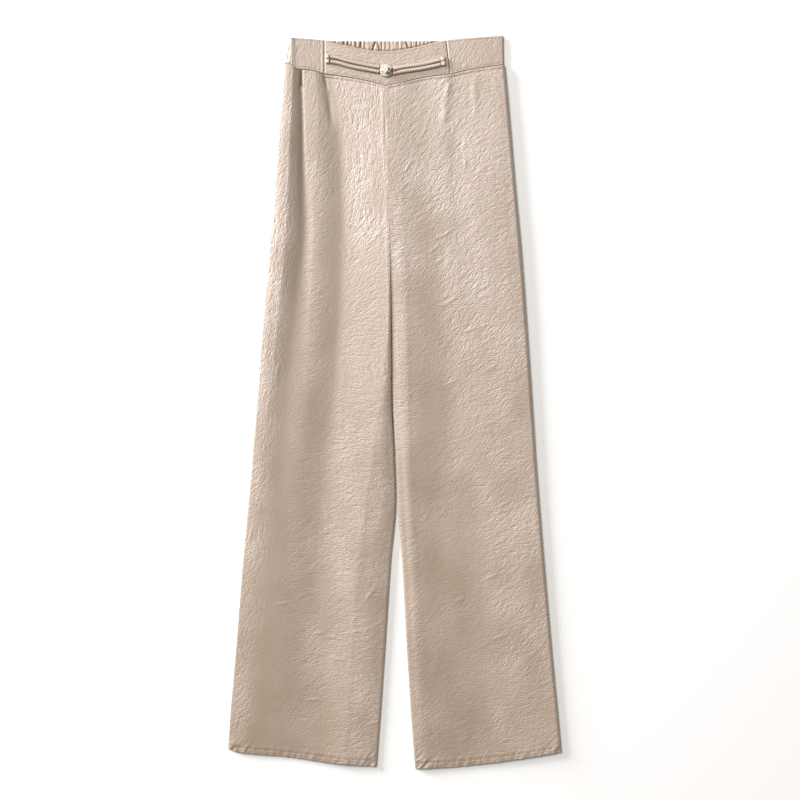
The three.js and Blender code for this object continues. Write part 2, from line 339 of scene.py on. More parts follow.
def grid_rim(rows: int, cols: int, first: int) -> np.ndarray:
    """Numbers of a grid's rim points, counter-clockwise from above."""
    n = first + np.arange(rows * cols).reshape(rows, cols)
    return np.concatenate([n[0, :-1], n[:-1, -1], n[-1, :0:-1], n[:0:-1, 0]])


def new_mesh(name: str, points: np.ndarray, quads: np.ndarray, tris: np.ndarray) -> bpy.types.Mesh:
    """A mesh from whole arrays.

    Args:
        name: Name of the mesh.
        points: Points in millimetres, count by 3.
        quads: Corners of the four-sided faces, count by 4.
        tris: Corners of the triangles, count by 3.

    Returns:
        The mesh, smooth apart from its sharp edges.
    """
    mesh = bpy.data.meshes.new(name)
    mesh.vertices.add(len(points))
    mesh.vertices.foreach_set("co", (points * MM).astype(np.float32).ravel())
    mesh.loops.add(quads.size + tris.size)
    corners = np.concatenate([quads.ravel(), tris.ravel()]).astype(np.int32)
    mesh.loops.foreach_set("vertex_index", corners)
    mesh.polygons.add(len(quads) + len(tris))
    starts = np.concatenate([np.arange(len(quads)) * 4, quads.size + np.arange(len(tris)) * 3])
    mesh.polygons.foreach_set("loop_start", starts.astype(np.int32))
    mesh.update(calc_edges=True)
    mesh.shade_smooth()
    mesh.set_sharp_from_angle(angle=math.radians(SHARP_DEGREES))
    return mesh


NO_TRIS = np.zeros((0, 3), int)


def paint_shade(mesh: bpy.types.Mesh, depth: np.ndarray) -> None:
    """Puts painted shade, from 0 to 1 at each point, on a mesh's points as a point attribute."""
    values = depth.astype(np.float32).ravel()
    mesh.attributes.new("painted_shade", "FLOAT", "POINT").data.foreach_set("value", values)


@dataclass
class Marks:
    """What the satin needs to know at each point of a fine face.

    hollow is the painted shade of the folds at the point, lean the direction of the fine creases in degrees
    and fine how strong they are, which also sets how much of the painted sheen tone shows.
    """

    painted_shade: np.ndarray
    lean: np.ndarray
    fine: np.ndarray

    def write(self, mesh: bpy.types.Mesh) -> None:
        """Puts the marks on the mesh's points, for both faces, and none on the stitches after them.

        The attribute grain holds the cosine and sine of twice the lean, which are the same for a
        direction and its opposite, and the strength.

        Args:
            mesh: The shell's mesh, with the fine face's points first.
        """
        twice = np.radians(2 * self.lean)
        grain = np.stack([np.cos(twice), np.sin(twice), self.fine], axis=-1)
        both = np.concatenate([grain.reshape(-1, 3), grain[::2, ::2].reshape(-1, 3)])
        depth = np.concatenate([self.painted_shade.ravel(), self.painted_shade[::2, ::2].ravel()])
        thread = len(mesh.vertices) - len(depth)
        both = np.concatenate([both, np.zeros((thread, 3))]).astype(np.float32)
        paint_shade(mesh, np.concatenate([depth, np.zeros(thread)]))
        mesh.attributes.new("grain", "FLOAT_VECTOR", "POINT").data.foreach_set("vector", both.ravel())


def stitches(line: np.ndarray) -> tuple[np.ndarray, np.ndarray]:
    """Stitches along a line on the cloth: a small block of thread over every second step.

    Args:
        line: Points of the line, count by 3.

    Returns:
        The blocks' points and their four-sided faces.
    """
    start, end = line[:-1:2], line[1::2]
    ahead = end - start
    ahead /= np.linalg.norm(ahead, axis=1, keepdims=True)
    side = np.cross([0.0, 0.0, 1.0], ahead)
    side *= THREAD_WIDTH / 2 / np.linalg.norm(side, axis=1, keepdims=True)
    top = np.array([0.0, 0.0, THREAD_RISE])
    corners = [start - side, end - side, end + side, start + side]
    blocks = np.stack([c - top for c in corners] + [c + top for c in corners], axis=1)
    box = np.array([[3, 2, 1, 0], [4, 5, 6, 7], [0, 1, 5, 4], [1, 2, 6, 5], [2, 3, 7, 6], [3, 0, 4, 7]])
    quads = (box[None] + 8 * np.arange(len(blocks))[:, None, None]).reshape(-1, 4)
    return blocks.reshape(-1, 3), quads


def shell_mesh(
    name: str, face: np.ndarray, other: np.ndarray, face_up: bool, marks: Marks, seams: tuple = ()
) -> bpy.types.Mesh:
    """A closed thin shell of cloth between a fine face and a coarse one.

    The coarse grid has half the cells of the fine one both ways, and triangles join the two rims.

    Args:
        name: Name of the mesh.
        face: Points of the fine face, rows by columns by 3.
        other: Points of the coarse face, from every second row and column.
        face_up: True where the fine face is the upper one.
        marks: The satin's marks on the fine face.
        seams: Lines of points on the fine face that carry stitches.

    Returns:
        The mesh, with its marks.
    """
    rows, cols = face.shape[:2]
    few, thin = other.shape[:2]
    near = grid_quads(rows, cols, 0)
    far = grid_quads(few, thin, rows * cols)[:, ::-1]
    ring = grid_rim(rows, cols, 0)
    low = grid_rim(few, thin, rows * cols)
    start, middle, end = ring[0::2], ring[1::2], np.roll(ring, -2)[0::2]
    after = np.roll(low, -1)
    sides = np.concatenate(
        [
            np.stack([start, low, middle], axis=1),
            np.stack([middle, low, after], axis=1),
            np.stack([middle, after, end], axis=1),
        ]
    )
    quads = np.concatenate([near, far])
    if not face_up:
        quads, sides = quads[:, ::-1], sides[:, ::-1]
    points = np.concatenate([face.reshape(-1, 3), other.reshape(-1, 3)])
    for line in seams:
        thread, blocks = stitches(line)
        quads = np.concatenate([quads, blocks + len(points)])
        points = np.concatenate([points, thread])
    mesh = new_mesh(name, points, quads, sides)
    marks.write(mesh)
    return mesh


def tube_points(
    path: np.ndarray, ahead: np.ndarray, up: np.ndarray, wide: np.ndarray, high: np.ndarray
) -> np.ndarray:
    """Points of a tube's sections.

    Each section is spanned by the direction across the path, square to up, and the one square to both.

    Args:
        path: Points of the centreline, count by 3.
        ahead: The path's direction at each point.
        up: A direction that is up, one for all points or one for each.
        wide: Reach of each section's points across the path, sections by points.
        high: Their reach square to it, of the same shape.

    Returns:
        The points, section after section, count by 3.
    """
    ahead = ahead / np.linalg.norm(ahead, axis=1, keepdims=True)
    across = np.cross(np.broadcast_to(up, ahead.shape), ahead)
    across /= np.linalg.norm(across, axis=1, keepdims=True)
    over = np.cross(ahead, across)
    points = path[:, None] + wide[..., None] * across[:, None] + high[..., None] * over[:, None]
    return points.reshape(-1, 3)


def tube_quads(count: int, around: int, closed: bool) -> np.ndarray:
    """Faces of a tube whose sections run counter-clockwise from the level side to the upper one.

    Args:
        count: Number of sections.
        around: Points in a section.
        closed: True where the last section meets the first.

    Returns:
        Corners of the four-sided faces, count by 4.
    """
    numbers = np.arange(count * around).reshape(count, around)
    if closed:
        numbers = np.concatenate([numbers, numbers[:1]])
    return cells(np.concatenate([numbers, numbers[:, :1]], axis=1))


def end_fans(count: int, around: int) -> np.ndarray:
    """Triangles that close the first and last section of an open tube, as fans from one corner.

    Args:
        count: Number of sections.
        around: Points in a section.

    Returns:
        Corners of the triangles, count by 3.
    """
    step = np.arange(1, around - 1)
    first = np.stack([np.zeros_like(step), step + 1, step], axis=1)
    last = (count - 1) * around + np.stack([np.zeros_like(step), step, step + 1], axis=1)
    return np.concatenate([first, last])


def open_tube(path: np.ndarray, wide: np.ndarray, high: np.ndarray) -> tuple[np.ndarray, ...]:
    """A tube along a path that keeps its sections upright, with closed ends.

    Args:
        path: Points of the centreline, count by 3.
        wide: Reach of each section's points across the path, sections by points.
        high: Their reach upwards, of the same shape.

    Returns:
        The tube's points, its four-sided faces and the triangles of its ends.
    """
    up = np.array([0.0, 0.0, 1.0])
    points = tube_points(path, np.gradient(path, axis=0), up, wide, high)
    return points, tube_quads(*wide.shape, False), end_fans(*wide.shape)


def joined(parts: list) -> tuple[np.ndarray, ...]:
    """Several sets of points, four-sided faces and triangles as one set.

    Args:
        parts: The sets.

    Returns:
        All their points, four-sided faces and triangles.
    """
    firsts = np.cumsum([0] + [len(points) for points, _, _ in parts[:-1]])
    points = np.concatenate([part[0] for part in parts])
    quads = np.concatenate([part[1] + first for part, first in zip(parts, firsts)])
    tris = np.concatenate([part[2] + first for part, first in zip(parts, firsts)])
    return points, quads, tris


def place(mesh: bpy.types.Mesh, finish: bpy.types.Material, slot: str, *nodes: str) -> bpy.types.Object:
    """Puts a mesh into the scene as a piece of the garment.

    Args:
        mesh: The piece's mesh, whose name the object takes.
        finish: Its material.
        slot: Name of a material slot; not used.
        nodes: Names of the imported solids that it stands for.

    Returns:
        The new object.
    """
    piece = bpy.data.objects.new(mesh.name, mesh)
    bpy.context.scene.collection.objects.link(piece)
    mesh.materials.append(finish)
    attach(piece, "root")
    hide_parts(*nodes)
    log.info("%s: %d faces", piece.name, len(mesh.polygons))
    return piece


# Finishes


@dataclass(frozen=True)
class Satin:
    """Crinkled satin of one dye: a painted shade tone where the creases are faint and a painted sheen tone
    where they are strong, painted shade in the folds, painted warm light towards the hems, a soft gloss and
    fine creases.

    Lengths are metres in the object's own coordinates, and a scale is how often a noise turns in one.
    """

    name: str
    # The first tone is painted shade and the second painted sheen, mixed by the crinkle strength; the third
    # is the painted shade of the folds.
    smooth: tuple[float, float, float]
    painted_sheen_tone: tuple[float, float, float]
    deep: tuple[float, float, float]
    # Painted warm light: the colour is multiplied by this tint more and more from the stated height down to
    # the hems.
    painted_warm_light: tuple[float, float, float] = (1.0, 0.972, 0.91)
    painted_warm_light_from: float = 0.4
    patch_scale: float = 14.0
    patch_swing: float = 0.7
    rough: float = 0.55
    rough_swing: float = 0.2
    metal: float = 0.0
    specular: float = 1.0
    refraction: float = 1.7
    sheen: float = 0.1
    sheen_rough: float = 0.45
    sheen_tint: tuple[float, float, float] = (1.0, 0.95, 0.9)
    creases: float = 0.0020
    crease_length: float = 0.0092
    crease_width: float = 0.0027
    crease_depth: float = 0.02
    weave: float = 0.00004
    weave_scale: float = 1400.0

    def make(self) -> bpy.types.Material:
        """Builds the material.

        The painted shade tone becomes the painted sheen tone with the strength in the attribute grain, plus
        slow patches. From the stated height down to the hems both are multiplied more and more by a tint of
        painted warm light, and the painted shade of the folds comes in with its attribute. The bump is fine
        creases and a weave.

        Returns:
            The node material.
        """
        material = bpy.data.materials.new(self.name)
        material.use_nodes = True
        tree = material.node_tree
        shader = tree.nodes["Principled BSDF"]
        shader.inputs["Metallic"].default_value = self.metal
        shader.inputs["IOR"].default_value = self.refraction
        shader.inputs["Specular IOR Level"].default_value = self.specular
        shader.inputs["Sheen Weight"].default_value = self.sheen
        shader.inputs["Sheen Roughness"].default_value = self.sheen_rough
        shader.inputs["Sheen Tint"].default_value = (*self.sheen_tint, 1.0)
        where = tree.nodes.new("ShaderNodeTexCoord").outputs["Object"]
        grain = tree.nodes.new("ShaderNodeAttribute")
        grain.attribute_name = "grain"
        strength = tree.nodes.new("ShaderNodeSeparateXYZ")
        tree.links.new(grain.outputs["Vector"], strength.inputs["Vector"])
        fine = strength.outputs["Z"]
        slow = self._noise(tree, where, self.patch_scale, 3.0)
        patch = self._math(tree, "MULTIPLY_ADD", slow, self.patch_swing, -self.patch_swing / 2)
        share = self._math(tree, "ADD", fine, patch)
        # painted shade tone and painted sheen tone, mixed by the crinkle strength and slow patches
        tones = self._mix(tree, share, self.smooth, self.painted_sheen_tone)
        painted_shade = tree.nodes.new("ShaderNodeAttribute")
        painted_shade.attribute_name = "painted_shade"
        spot = tree.nodes.new("ShaderNodeSeparateXYZ")
        tree.links.new(where, spot.inputs["Vector"])
        # painted warm light, growing towards the hems
        low = self._math(tree, "MULTIPLY_ADD", spot.outputs["Y"], -1.0, self.painted_warm_light_from)
        low.node.use_clamp = True
        painted_warm_light = self._mix(tree, low, self.painted_warm_light, self.painted_warm_light)
        painted_warm_light.blend_type = "MULTIPLY"
        tree.links.new(tones.outputs[2], painted_warm_light.inputs[6])
        # painted shade of the folds
        deep = self._mix(tree, painted_shade.outputs["Fac"], self.deep, self.deep)
        tree.links.new(painted_warm_light.outputs[2], deep.inputs[6])
        tree.links.new(deep.outputs[2], shader.inputs["Base Color"])
        creased = self._creases(tree, where, grain.outputs["Vector"])
        height = self._math(tree, "MULTIPLY", creased, fine)
        bump = tree.nodes.new("ShaderNodeBump")
        bump.inputs["Distance"].default_value = self.creases
        tree.links.new(height, bump.inputs["Height"])
        weave = tree.nodes.new("ShaderNodeBump")
        weave.inputs["Distance"].default_value = self.weave
        threads = self._noise(tree, where, self.weave_scale, 1.0)
        tree.links.new(threads, weave.inputs["Height"])
        tree.links.new(bump.outputs["Normal"], weave.inputs["Normal"])
        tree.links.new(weave.outputs["Normal"], shader.inputs["Normal"])
        smoothest = self.rough - self.rough_swing / 2
        rough = self._math(tree, "MULTIPLY_ADD", slow, self.rough_swing, smoothest)
        tree.links.new(rough, shader.inputs["Roughness"])
        return material

    def _creases(
        self, tree: bpy.types.NodeTree, where: bpy.types.NodeSocket, grain: bpy.types.NodeSocket
    ) -> bpy.types.NodeSocket:
        """Height of the fine creases.

        Four drawn-out noises lie at 0, 45, 90 and 135 degrees. Each is folded about its middle, which
        gives facets with sharp lines between them, and weighted by how near it is to the lean. The
        four read different places, so that they don't fold together.

        Args:
            tree: The material's node tree.
            where: Socket with the object coordinates.
            grain: Socket with the attribute grain.

        Returns:
            The socket with the height.
        """
        total = None
        for step, turn in enumerate((0.0, 45.0, 90.0, 135.0)):
            twice = math.radians(2 * turn)
            mapping = tree.nodes.new("ShaderNodeMapping")
            mapping.vector_type = "TEXTURE"
            mapping.inputs["Location"].default_value = (0.37 * step, 0.21 * step, 0.0)
            mapping.inputs["Rotation"].default_value = (0.0, 0.0, math.radians(turn))
            size = (self.crease_length, self.crease_width, self.crease_depth)
            mapping.inputs["Scale"].default_value = size
            tree.links.new(where, mapping.inputs["Vector"])
            noise = self._noise(tree, mapping.outputs["Vector"], 1.0, 1.0)
            centred = self._math(tree, "SUBTRACT", noise, 0.5)
            folded = self._math(tree, "ABSOLUTE", centred)
            dot = tree.nodes.new("ShaderNodeVectorMath")
            dot.operation = "DOT_PRODUCT"
            dot.inputs[1].default_value = (math.cos(twice), math.sin(twice), 0.0)
            tree.links.new(grain, dot.inputs[0])
            weight = self._math(tree, "MULTIPLY_ADD", dot.outputs["Value"], 0.7, 0.3)
            weight.node.use_clamp = True
            part = self._math(tree, "MULTIPLY", folded, weight)
            total = part if total is None else self._math(tree, "ADD", total, part)
        return self._math(tree, "MULTIPLY", total, -1.0)

    @staticmethod
    def _noise(
        tree: bpy.types.NodeTree, where: bpy.types.NodeSocket, scale: float, detail: float
    ) -> bpy.types.NodeSocket:
        """A noise texture read at given coordinates.

        Args:
            tree: The material's node tree.
            where: Socket with the coordinates.
            scale: How often the noise turns in one unit of them.
            detail: How many finer noises it holds.

        Returns:
            The socket with the noise, from 0 to 1.
        """
        node = tree.nodes.new("ShaderNodeTexNoise")
        node.inputs["Scale"].default_value = scale
        node.inputs["Detail"].default_value = detail
        tree.links.new(where, node.inputs["Vector"])
        return node.outputs["Fac"]

    @staticmethod
    def _math(
        tree: bpy.types.NodeTree, operation: str, *values: float | bpy.types.NodeSocket
    ) -> bpy.types.NodeSocket:
        """A sum on sockets and numbers.

        Args:
            tree: The material's node tree.
            operation: Blender's name of the sum.
            values: The sockets and numbers that it takes, in order.

        Returns:
            The socket with the result.
        """
        node = tree.nodes.new("ShaderNodeMath")
        node.operation = operation
        for value, socket in zip(values, node.inputs):
            if isinstance(value, bpy.types.NodeSocket):
                tree.links.new(value, socket)
            else:
                socket.default_value = value
        return node.outputs["Value"]

    @staticmethod
    def _mix(
        tree: bpy.types.NodeTree, factor: bpy.types.NodeSocket, first: tuple, second: tuple
    ) -> bpy.types.Node:
        """A mix of two stated colours.

        Args:
            tree: The material's node tree.
            factor: Socket with the second colour's share.
            first: The first colour, for the node's socket 6.
            second: The second colour, for its socket 7.

        Returns:
            The node, whose socket 2 gives the colour.
        """
        node = tree.nodes.new("ShaderNodeMix")
        node.data_type = "RGBA"
        node.inputs[6].default_value = (*first, 1.0)
        node.inputs[7].default_value = (*second, 1.0)
        tree.links.new(factor, node.inputs["Factor"])
        return node


# Leg panels


@dataclass(frozen=True)
class Fold:
    """A line that runs down a leg, with a value for each of LEVELS.

    x is where it is, z the height of the cloth's upper face, lean the direction of the fine creases in
    degrees and fine how strong they are, which also sets how much of the painted sheen tone, rather than the
    painted shade tone, the satin shows there.
    """

    x: tuple
    z: tuple
    lean: tuple
    fine: tuple


LEFT_FOLDS = (
    Fold(  # crest along the outer edge
        x=(-212, -201, -193, -184, -171, -160.5, -151.5, -146, -141),
        z=(5.0, 5.2, 5.6, 6.2, 7.0, 7.7, 8.1, 8.1, 7.2),
        lean=(50, 60, 70, 75, 78, 80, 80, 82, 86),
        fine=(0.6, 0.6, 0.7, 0.8, 0.9, 1.0, 1.0, 0.9, 0.6),
    ),
    Fold(  # floor of the outer pleat
        x=(-187, -176, -166, -156, -147, -136.0, -127.0, -127.2, -129.6),
        z=(4.4, 4.6, 4.8, 4.8, 4.4, 3.9, 3.4, 3.1, 3.1),
        lean=(70, 75, 80, 85, 85, 85, 85, 85, 85),
        fine=(0.15, 0.15, 0.12, 0.1, 0.1, 0.1, 0.1, 0.1, 0.1),
    ),
    Fold(  # foot of the ridge between the pleats
        x=(-170, -160, -152, -145, -133, -124.0, -119.0, -123.8, -127.8),
        z=(4.1, 4.4, 4.6, 4.8, 4.7, 4.4, 4.3, 5.0, 5.6),
        lean=(60, 40, 20, 10, 10, 15, 30, 70, 86),
        fine=(0.15, 0.2, 0.2, 0.25, 0.3, 0.4, 0.55, 0.65, 0.5),
    ),
    Fold(  # ridge between the pleats
        x=(-156, -148, -142, -136, -124, -116, -112, -110, -111),
        z=(3.8, 4.1, 4.4, 4.7, 4.8, 4.9, 5.0, 5.5, 5.9),
        lean=(60, 30, -10, -20, -10, 0, 20, 70, 86),
        fine=(0.2, 0.25, 0.3, 0.3, 0.4, 0.55, 0.65, 0.65, 0.5),
    ),
    Fold(  # floor of the inner pleat
        x=(-136, -124, -108, -99, -87, -79, -75, -77, -94),
        z=(3.6, 3.6, 3.6, 3.4, 3.0, 2.9, 2.9, 3.0, 3.6),
        lean=(40, 20, 10, 40, 75, 80, 85, 85, 88),
        fine=(0.35, 0.5, 0.5, 0.35, 0.25, 0.2, 0.2, 0.3, 0.4),
    ),
    Fold(  # shoulder of the inner pleat
        x=(-108, -96, -84, -77, -69, -65, -62, -64, -80),
        z=(4.2, 4.5, 4.8, 4.8, 4.5, 4.2, 4.3, 4.5, 4.6),
        lean=(40, 20, 10, -10, -20, 50, 75, 86, 88),
        fine=(0.5, 0.6, 0.7, 0.7, 0.8, 0.9, 1.0, 1.0, 0.8),
    ),
    Fold(  # crest beside the inseam
        x=(-70, -60, -46, -31, -16, -7, -5, -6, -9),
        z=(6.2, 7.2, 8.0, 8.5, 9.2, 9.6, 9.6, 9.6, 8.0),
        lean=(10, -15, -25, -30, -25, -20, 60, 88, 90),
        fine=(0.7, 0.8, 0.8, 0.8, 0.8, 0.8, 0.9, 1.0, 0.8),
    ),
)
RIGHT_FOLDS = (
    Fold(  # foot of the crest, at the inseam
        x=(32, 24, 16, 9, 3, -1, -5, -9, -12),
        z=(5.2, 5.6, 6.3, 7.2, 7.7, 7.9, 8.9, 9.5, 8.0),
        lean=(30, 30, 20, 10, 5, 5, 0, 40, 50),
        fine=(0.5, 0.5, 0.5, 0.5, 0.6, 0.7, 0.8, 0.7, 0.6),
    ),
    Fold(  # crest beside the inseam
        x=(44, 32, 24, 19, 17, 15, 10, 6, 0),
        z=(5.4, 6.0, 7.0, 8.1, 8.7, 9.1, 9.4, 9.3, 7.8),
        lean=(30, 30, 20, 10, 5, 5, 0, 40, 50),
        fine=(0.5, 0.5, 0.5, 0.6, 0.7, 0.8, 0.9, 0.8, 0.7),
    ),
    Fold(  # fall beside that crest
        x=(60, 46, 34, 27, 24, 22, 18, 16, 14),
        z=(5.0, 5.5, 6.4, 7.6, 8.2, 8.7, 9.1, 8.9, 7.4),
        lean=(30, 30, 25, 20, 15, 15, 20, 45, 55),
        fine=(0.45, 0.4, 0.4, 0.45, 0.5, 0.6, 0.8, 0.9, 0.8),
    ),
    Fold(  # long hollow down the leg
        x=(90, 80, 72, 64, 58, 52, 48, 45, 40),
        z=(4.0, 4.4, 5.0, 6.0, 6.9, 7.5, 8.1, 8.1, 6.8),
        lean=(20, 20, 25, 30, 30, 35, 40, 50, 55),
        fine=(0.4, 0.4, 0.35, 0.35, 0.4, 0.45, 0.6, 0.8, 0.8),
    ),
    Fold(  # crest of the inner pleat
        x=(110, 100, 92, 84, 78, 74, 70, 68, 70),
        z=(4.0, 4.3, 4.8, 5.6, 6.3, 7.0, 7.9, 8.6, 7.9),
        lean=(20, 15, 20, 35, 40, 40, 35, 50, 60),
        fine=(0.4, 0.4, 0.4, 0.5, 0.6, 0.8, 0.9, 1.0, 0.8),
    ),
    Fold(  # dip between the pleats
        x=(130, 120, 112, 104, 98, 93, 89, 86, 86),
        z=(4.4, 4.8, 5.2, 5.9, 6.7, 7.3, 7.8, 8.0, 7.1),
        lean=(20, 20, 25, 30, 35, 40, 45, 55, 60),
        fine=(0.45, 0.45, 0.5, 0.55, 0.65, 0.8, 0.9, 1.0, 0.7),
    ),
    Fold(  # crest of the outer pleat
        x=(158, 148, 138, 132, 126, 120, 116, 112, 112),
        z=(5.2, 5.8, 6.4, 7.0, 7.5, 8.1, 8.6, 8.7, 7.7),
        lean=(15, 20, 25, 20, 20, 30, 30, 40, 30),
        fine=(0.6, 0.7, 0.7, 0.7, 0.8, 0.8, 0.9, 1.0, 0.7),
    ),
    Fold(  # shoulder along the outer edge
        x=(205, 194, 182, 174, 167, 160, 155, 149, 143),
        z=(5.8, 6.4, 7.1, 7.9, 8.6, 9.2, 9.4, 9.4, 8.5),
        lean=(-10, 40, 30, 20, 10, 20, 30, 20, 0),
        fine=(0.7, 0.75, 0.75, 0.7, 0.7, 0.75, 0.8, 0.9, 0.8),
    ),
)


@dataclass(frozen=True)
class Roll:
    """How a front panel rolls down to the back along a long edge, with a value for each of LEVELS.

    width is the width of the roll, and fall how much of the way down it goes. wide is the share of
    that fall in a wide quarter sine, and nose the width of the quarter round that takes the rest.
    """

    width: tuple
    fall: tuple
    wide: float = 0.55
    nose: float = 3.2

    def lower(self, z: np.ndarray, gap: np.ndarray, level: np.ndarray) -> np.ndarray:
        """The cloth's height once it is rolled down.

        Args:
            z: Height before the roll.
            gap: How far each point is from the edge.
            level: Each row's level.

        Returns:
            The new height.
        """
        sine = np.sin(np.pi / 2 * ramp(gap, level_table(self.width, level)))
        rise = self.wide * sine + (1 - self.wide) * quarter_round(gap, self.nose)
        return z - level_table(self.fall, level) * (z - FRONT_FOOT - RIM) * (1 - rise)


OUTER_ROLL_LEFT = Roll(
    width=(14, 14, 14, 14, 13, 12, 12, 11, 8),
    fall=(0.25, 0.28, 0.35, 0.45, 0.5, 0.55, 0.55, 0.55, 0.4),
)
OUTER_ROLL_RIGHT = Roll(width=(3.4,) * 9, fall=(0.4,) * 9)
INNER_ROLL_LEFT = Roll(width=(38, 34, 28, 22, 9, 4, 4, 4, 4), fall=(1, 1, 1, 1, 0.6, 0.1, 0, 0, 0))
INNER_ROLL_RIGHT = Roll(
    width=(16, 16, 16, 14, 12, 8, 6, 4, 4),
    fall=(0.45, 0.45, 0.55, 0.7, 0.7, 0.4, 0, 0, 0),
)


@dataclass(frozen=True)
class PleatShade:
    """Painted shade along a pleat's floor, with a value for each of LEVELS.

    depth is its strength, before how far it fades out on the left, and after the width over which
    it ends at the pleat's lip.
    """

    depth: tuple
    before: tuple
    after: tuple


OUTER_PLEAT_SHADE = PleatShade(
    depth=(0, 0, 0, 0.05, 0.1, 0.3, 0.6, 0.85, 1.0),
    before=(12, 12, 12, 12, 12, 11, 10, 6.5, 2.0),
    after=(14, 14, 14, 14, 14, 12, 7, 3, 1.2),
)

# What sewing presses through the cloth, as place, height and width
HEM_RIDGES = ((3.4, 0.25, 1.6), (6.7, -0.4, 1.6), (10.4, 0.25, 1.8))
WAIST_RIDGES = ((1.8, 0.5, 1.3), (5.0, -0.45, 1.1))
MIDDLE_WELT = ((3.4, 0.22, 1.6),)
BAND_STITCHES = ((3.0, -0.3, 0.8),)
BAND_WELT = ((2.2, 0.3, 1.2), (4.6, -0.15, 0.9))
HEM_STITCHES = (5.2, 8.2)  # heights of the two rows of stitches above the hem

# Creases as x0, y0, x1, y1, width, height and, where it isn't straight, bend
LEFT_CREASES = creases(
    (
        (-129.6, 463, -131, 430, 1.4, -2),
        (-99.2, 458, -93, 432, 1.7, -2.2),
        (-94.5, 440, -86, 380, 4, -1.2),
        (-75.7, 447, -74.6, 430, 1.3, -0.53),
        (-62.5, 408, -59.4, 384, 1.4, 0.53),
        (-34.8, 408, -35.9, 388, 1.3, -0.53),
        (-28.1, 312, -31.5, 295, 1.4, 0.45),
        (-69.1, 249, -51, 237, 1.5, 0.61, 2),
        (-59.3, 251, -39.9, 230, 1.5, 0.53, 2),
        (-31.5, 225, -17.7, 238, 1.4, 0.53),
        (-77.4, 222, -64.9, 199, 1.5, 0.45),
        (-78.4, -191, -56.7, -211, 1.5, 0.61),
        (-100, -138, -90.8, -166, 1.5, 0.53),
        (-97, -325.8, -69.1, -332, 1.4, 0.61, 1.5),
        (-94, -355.3, -66, -357, 1.4, 0.61, -1.5),
        (-115.6, -322.6, -94, -319.6, 1.4, 0.45),
        (-44.2, -279.2, -25.6, -257, 1.4, 0.53),
        (-125, -414.2, -97, -415.7, 1.4, 0.53, 1),
        (-41.3, -449.8, -19.5, -443.5, 1.4, 0.53),
        (-196.3, -168, -202.5, -194, 1.5, 0.53),
        (-218, -342, -208.6, -358, 1.5, 0.53),
        (-168.3, -282.3, -143.6, -277.7, 1.4, 0.35),
        (-160, 60, -166, 20, 2, 0.45),
        (-126, 190, -112, 182, 1.5, 0.45),
    )
)
RIGHT_CREASES = creases(
    (
        (10.7, 316, 26.1, 338, 1.4, 0.61),
        (9, 296, 22, 308, 1.4, 0.45),
        (99.4, 344, 96, 316, 1.4, 0.61),
        (50.5, 224, 86, 244, 1.5, 0.61, -2),
        (44, 205, 74, 226, 1.5, 0.53),
        (77, 448, 70, 418, 3, 1),
        (71, 430, 68, 380, 4, 0.8),
        (113, 460, 110, 400, 4.5, 0.6),
        (141.9, -147, 160.5, -138, 1.4, 0.53),
        (135.7, -200, 157.4, -188, 1.4, 0.53),
        (117, -253, 148.2, -238, 1.4, 0.45, 1.5),
        (79.8, -279, 98.4, -272, 1.4, 0.35),
        (129.5, -333, 160.5, -321, 1.4, 0.45),
        (86, -476, 107.7, -464, 1.4, 0.35),
        (62, 130, 96, 152, 1.5, 0.45),
        (88, 90, 128, 108, 1.5, 0.45, 2),
        (120, 40, 150, 56, 1.5, 0.45),
        (66, 20, 92, 34, 1.5, 0.35),
    )
)
BACK_CREASES = creases(
    (
        (-160, 420, -150, 330, 4, 0.6),
        (-110, 450, -96, 360, 5, 0.7),
        (-60, 455, -52, 380, 4, 0.6),
        (-140, 200, -90, 226, 3, 0.5, 3),
        (-80, 120, -40, 150, 3, 0.5),
        (-170, 10, -130, 30, 3, 0.4),
        (-150, -120, -90, -104, 3, 0.5, -3),
        (-200, -260, -150, -240, 3, 0.4),
        (-120, -330, -60, -310, 3, 0.5),
        (-190, -430, -120, -420, 3, 0.5, 2),
        (-90, -455, -50, -470, 3, 0.4),
    )
)


def level_table(values: tuple, level: np.ndarray) -> np.ndarray:
    """A value stated at LEVELS, read at each row's level."""
    return smooth_curve(LEVELS, values, level)


FRONT_GRAIN = Grain(turn=34, turn_cell=19, cell=3.6, reach=7.0)
BACK_GRAIN = Grain(turn=30, turn_cell=30, cell=4.5, reach=6.0)
BAND_GRAIN = Grain(turn=15, turn_cell=18, cell=2.6, reach=5.0)


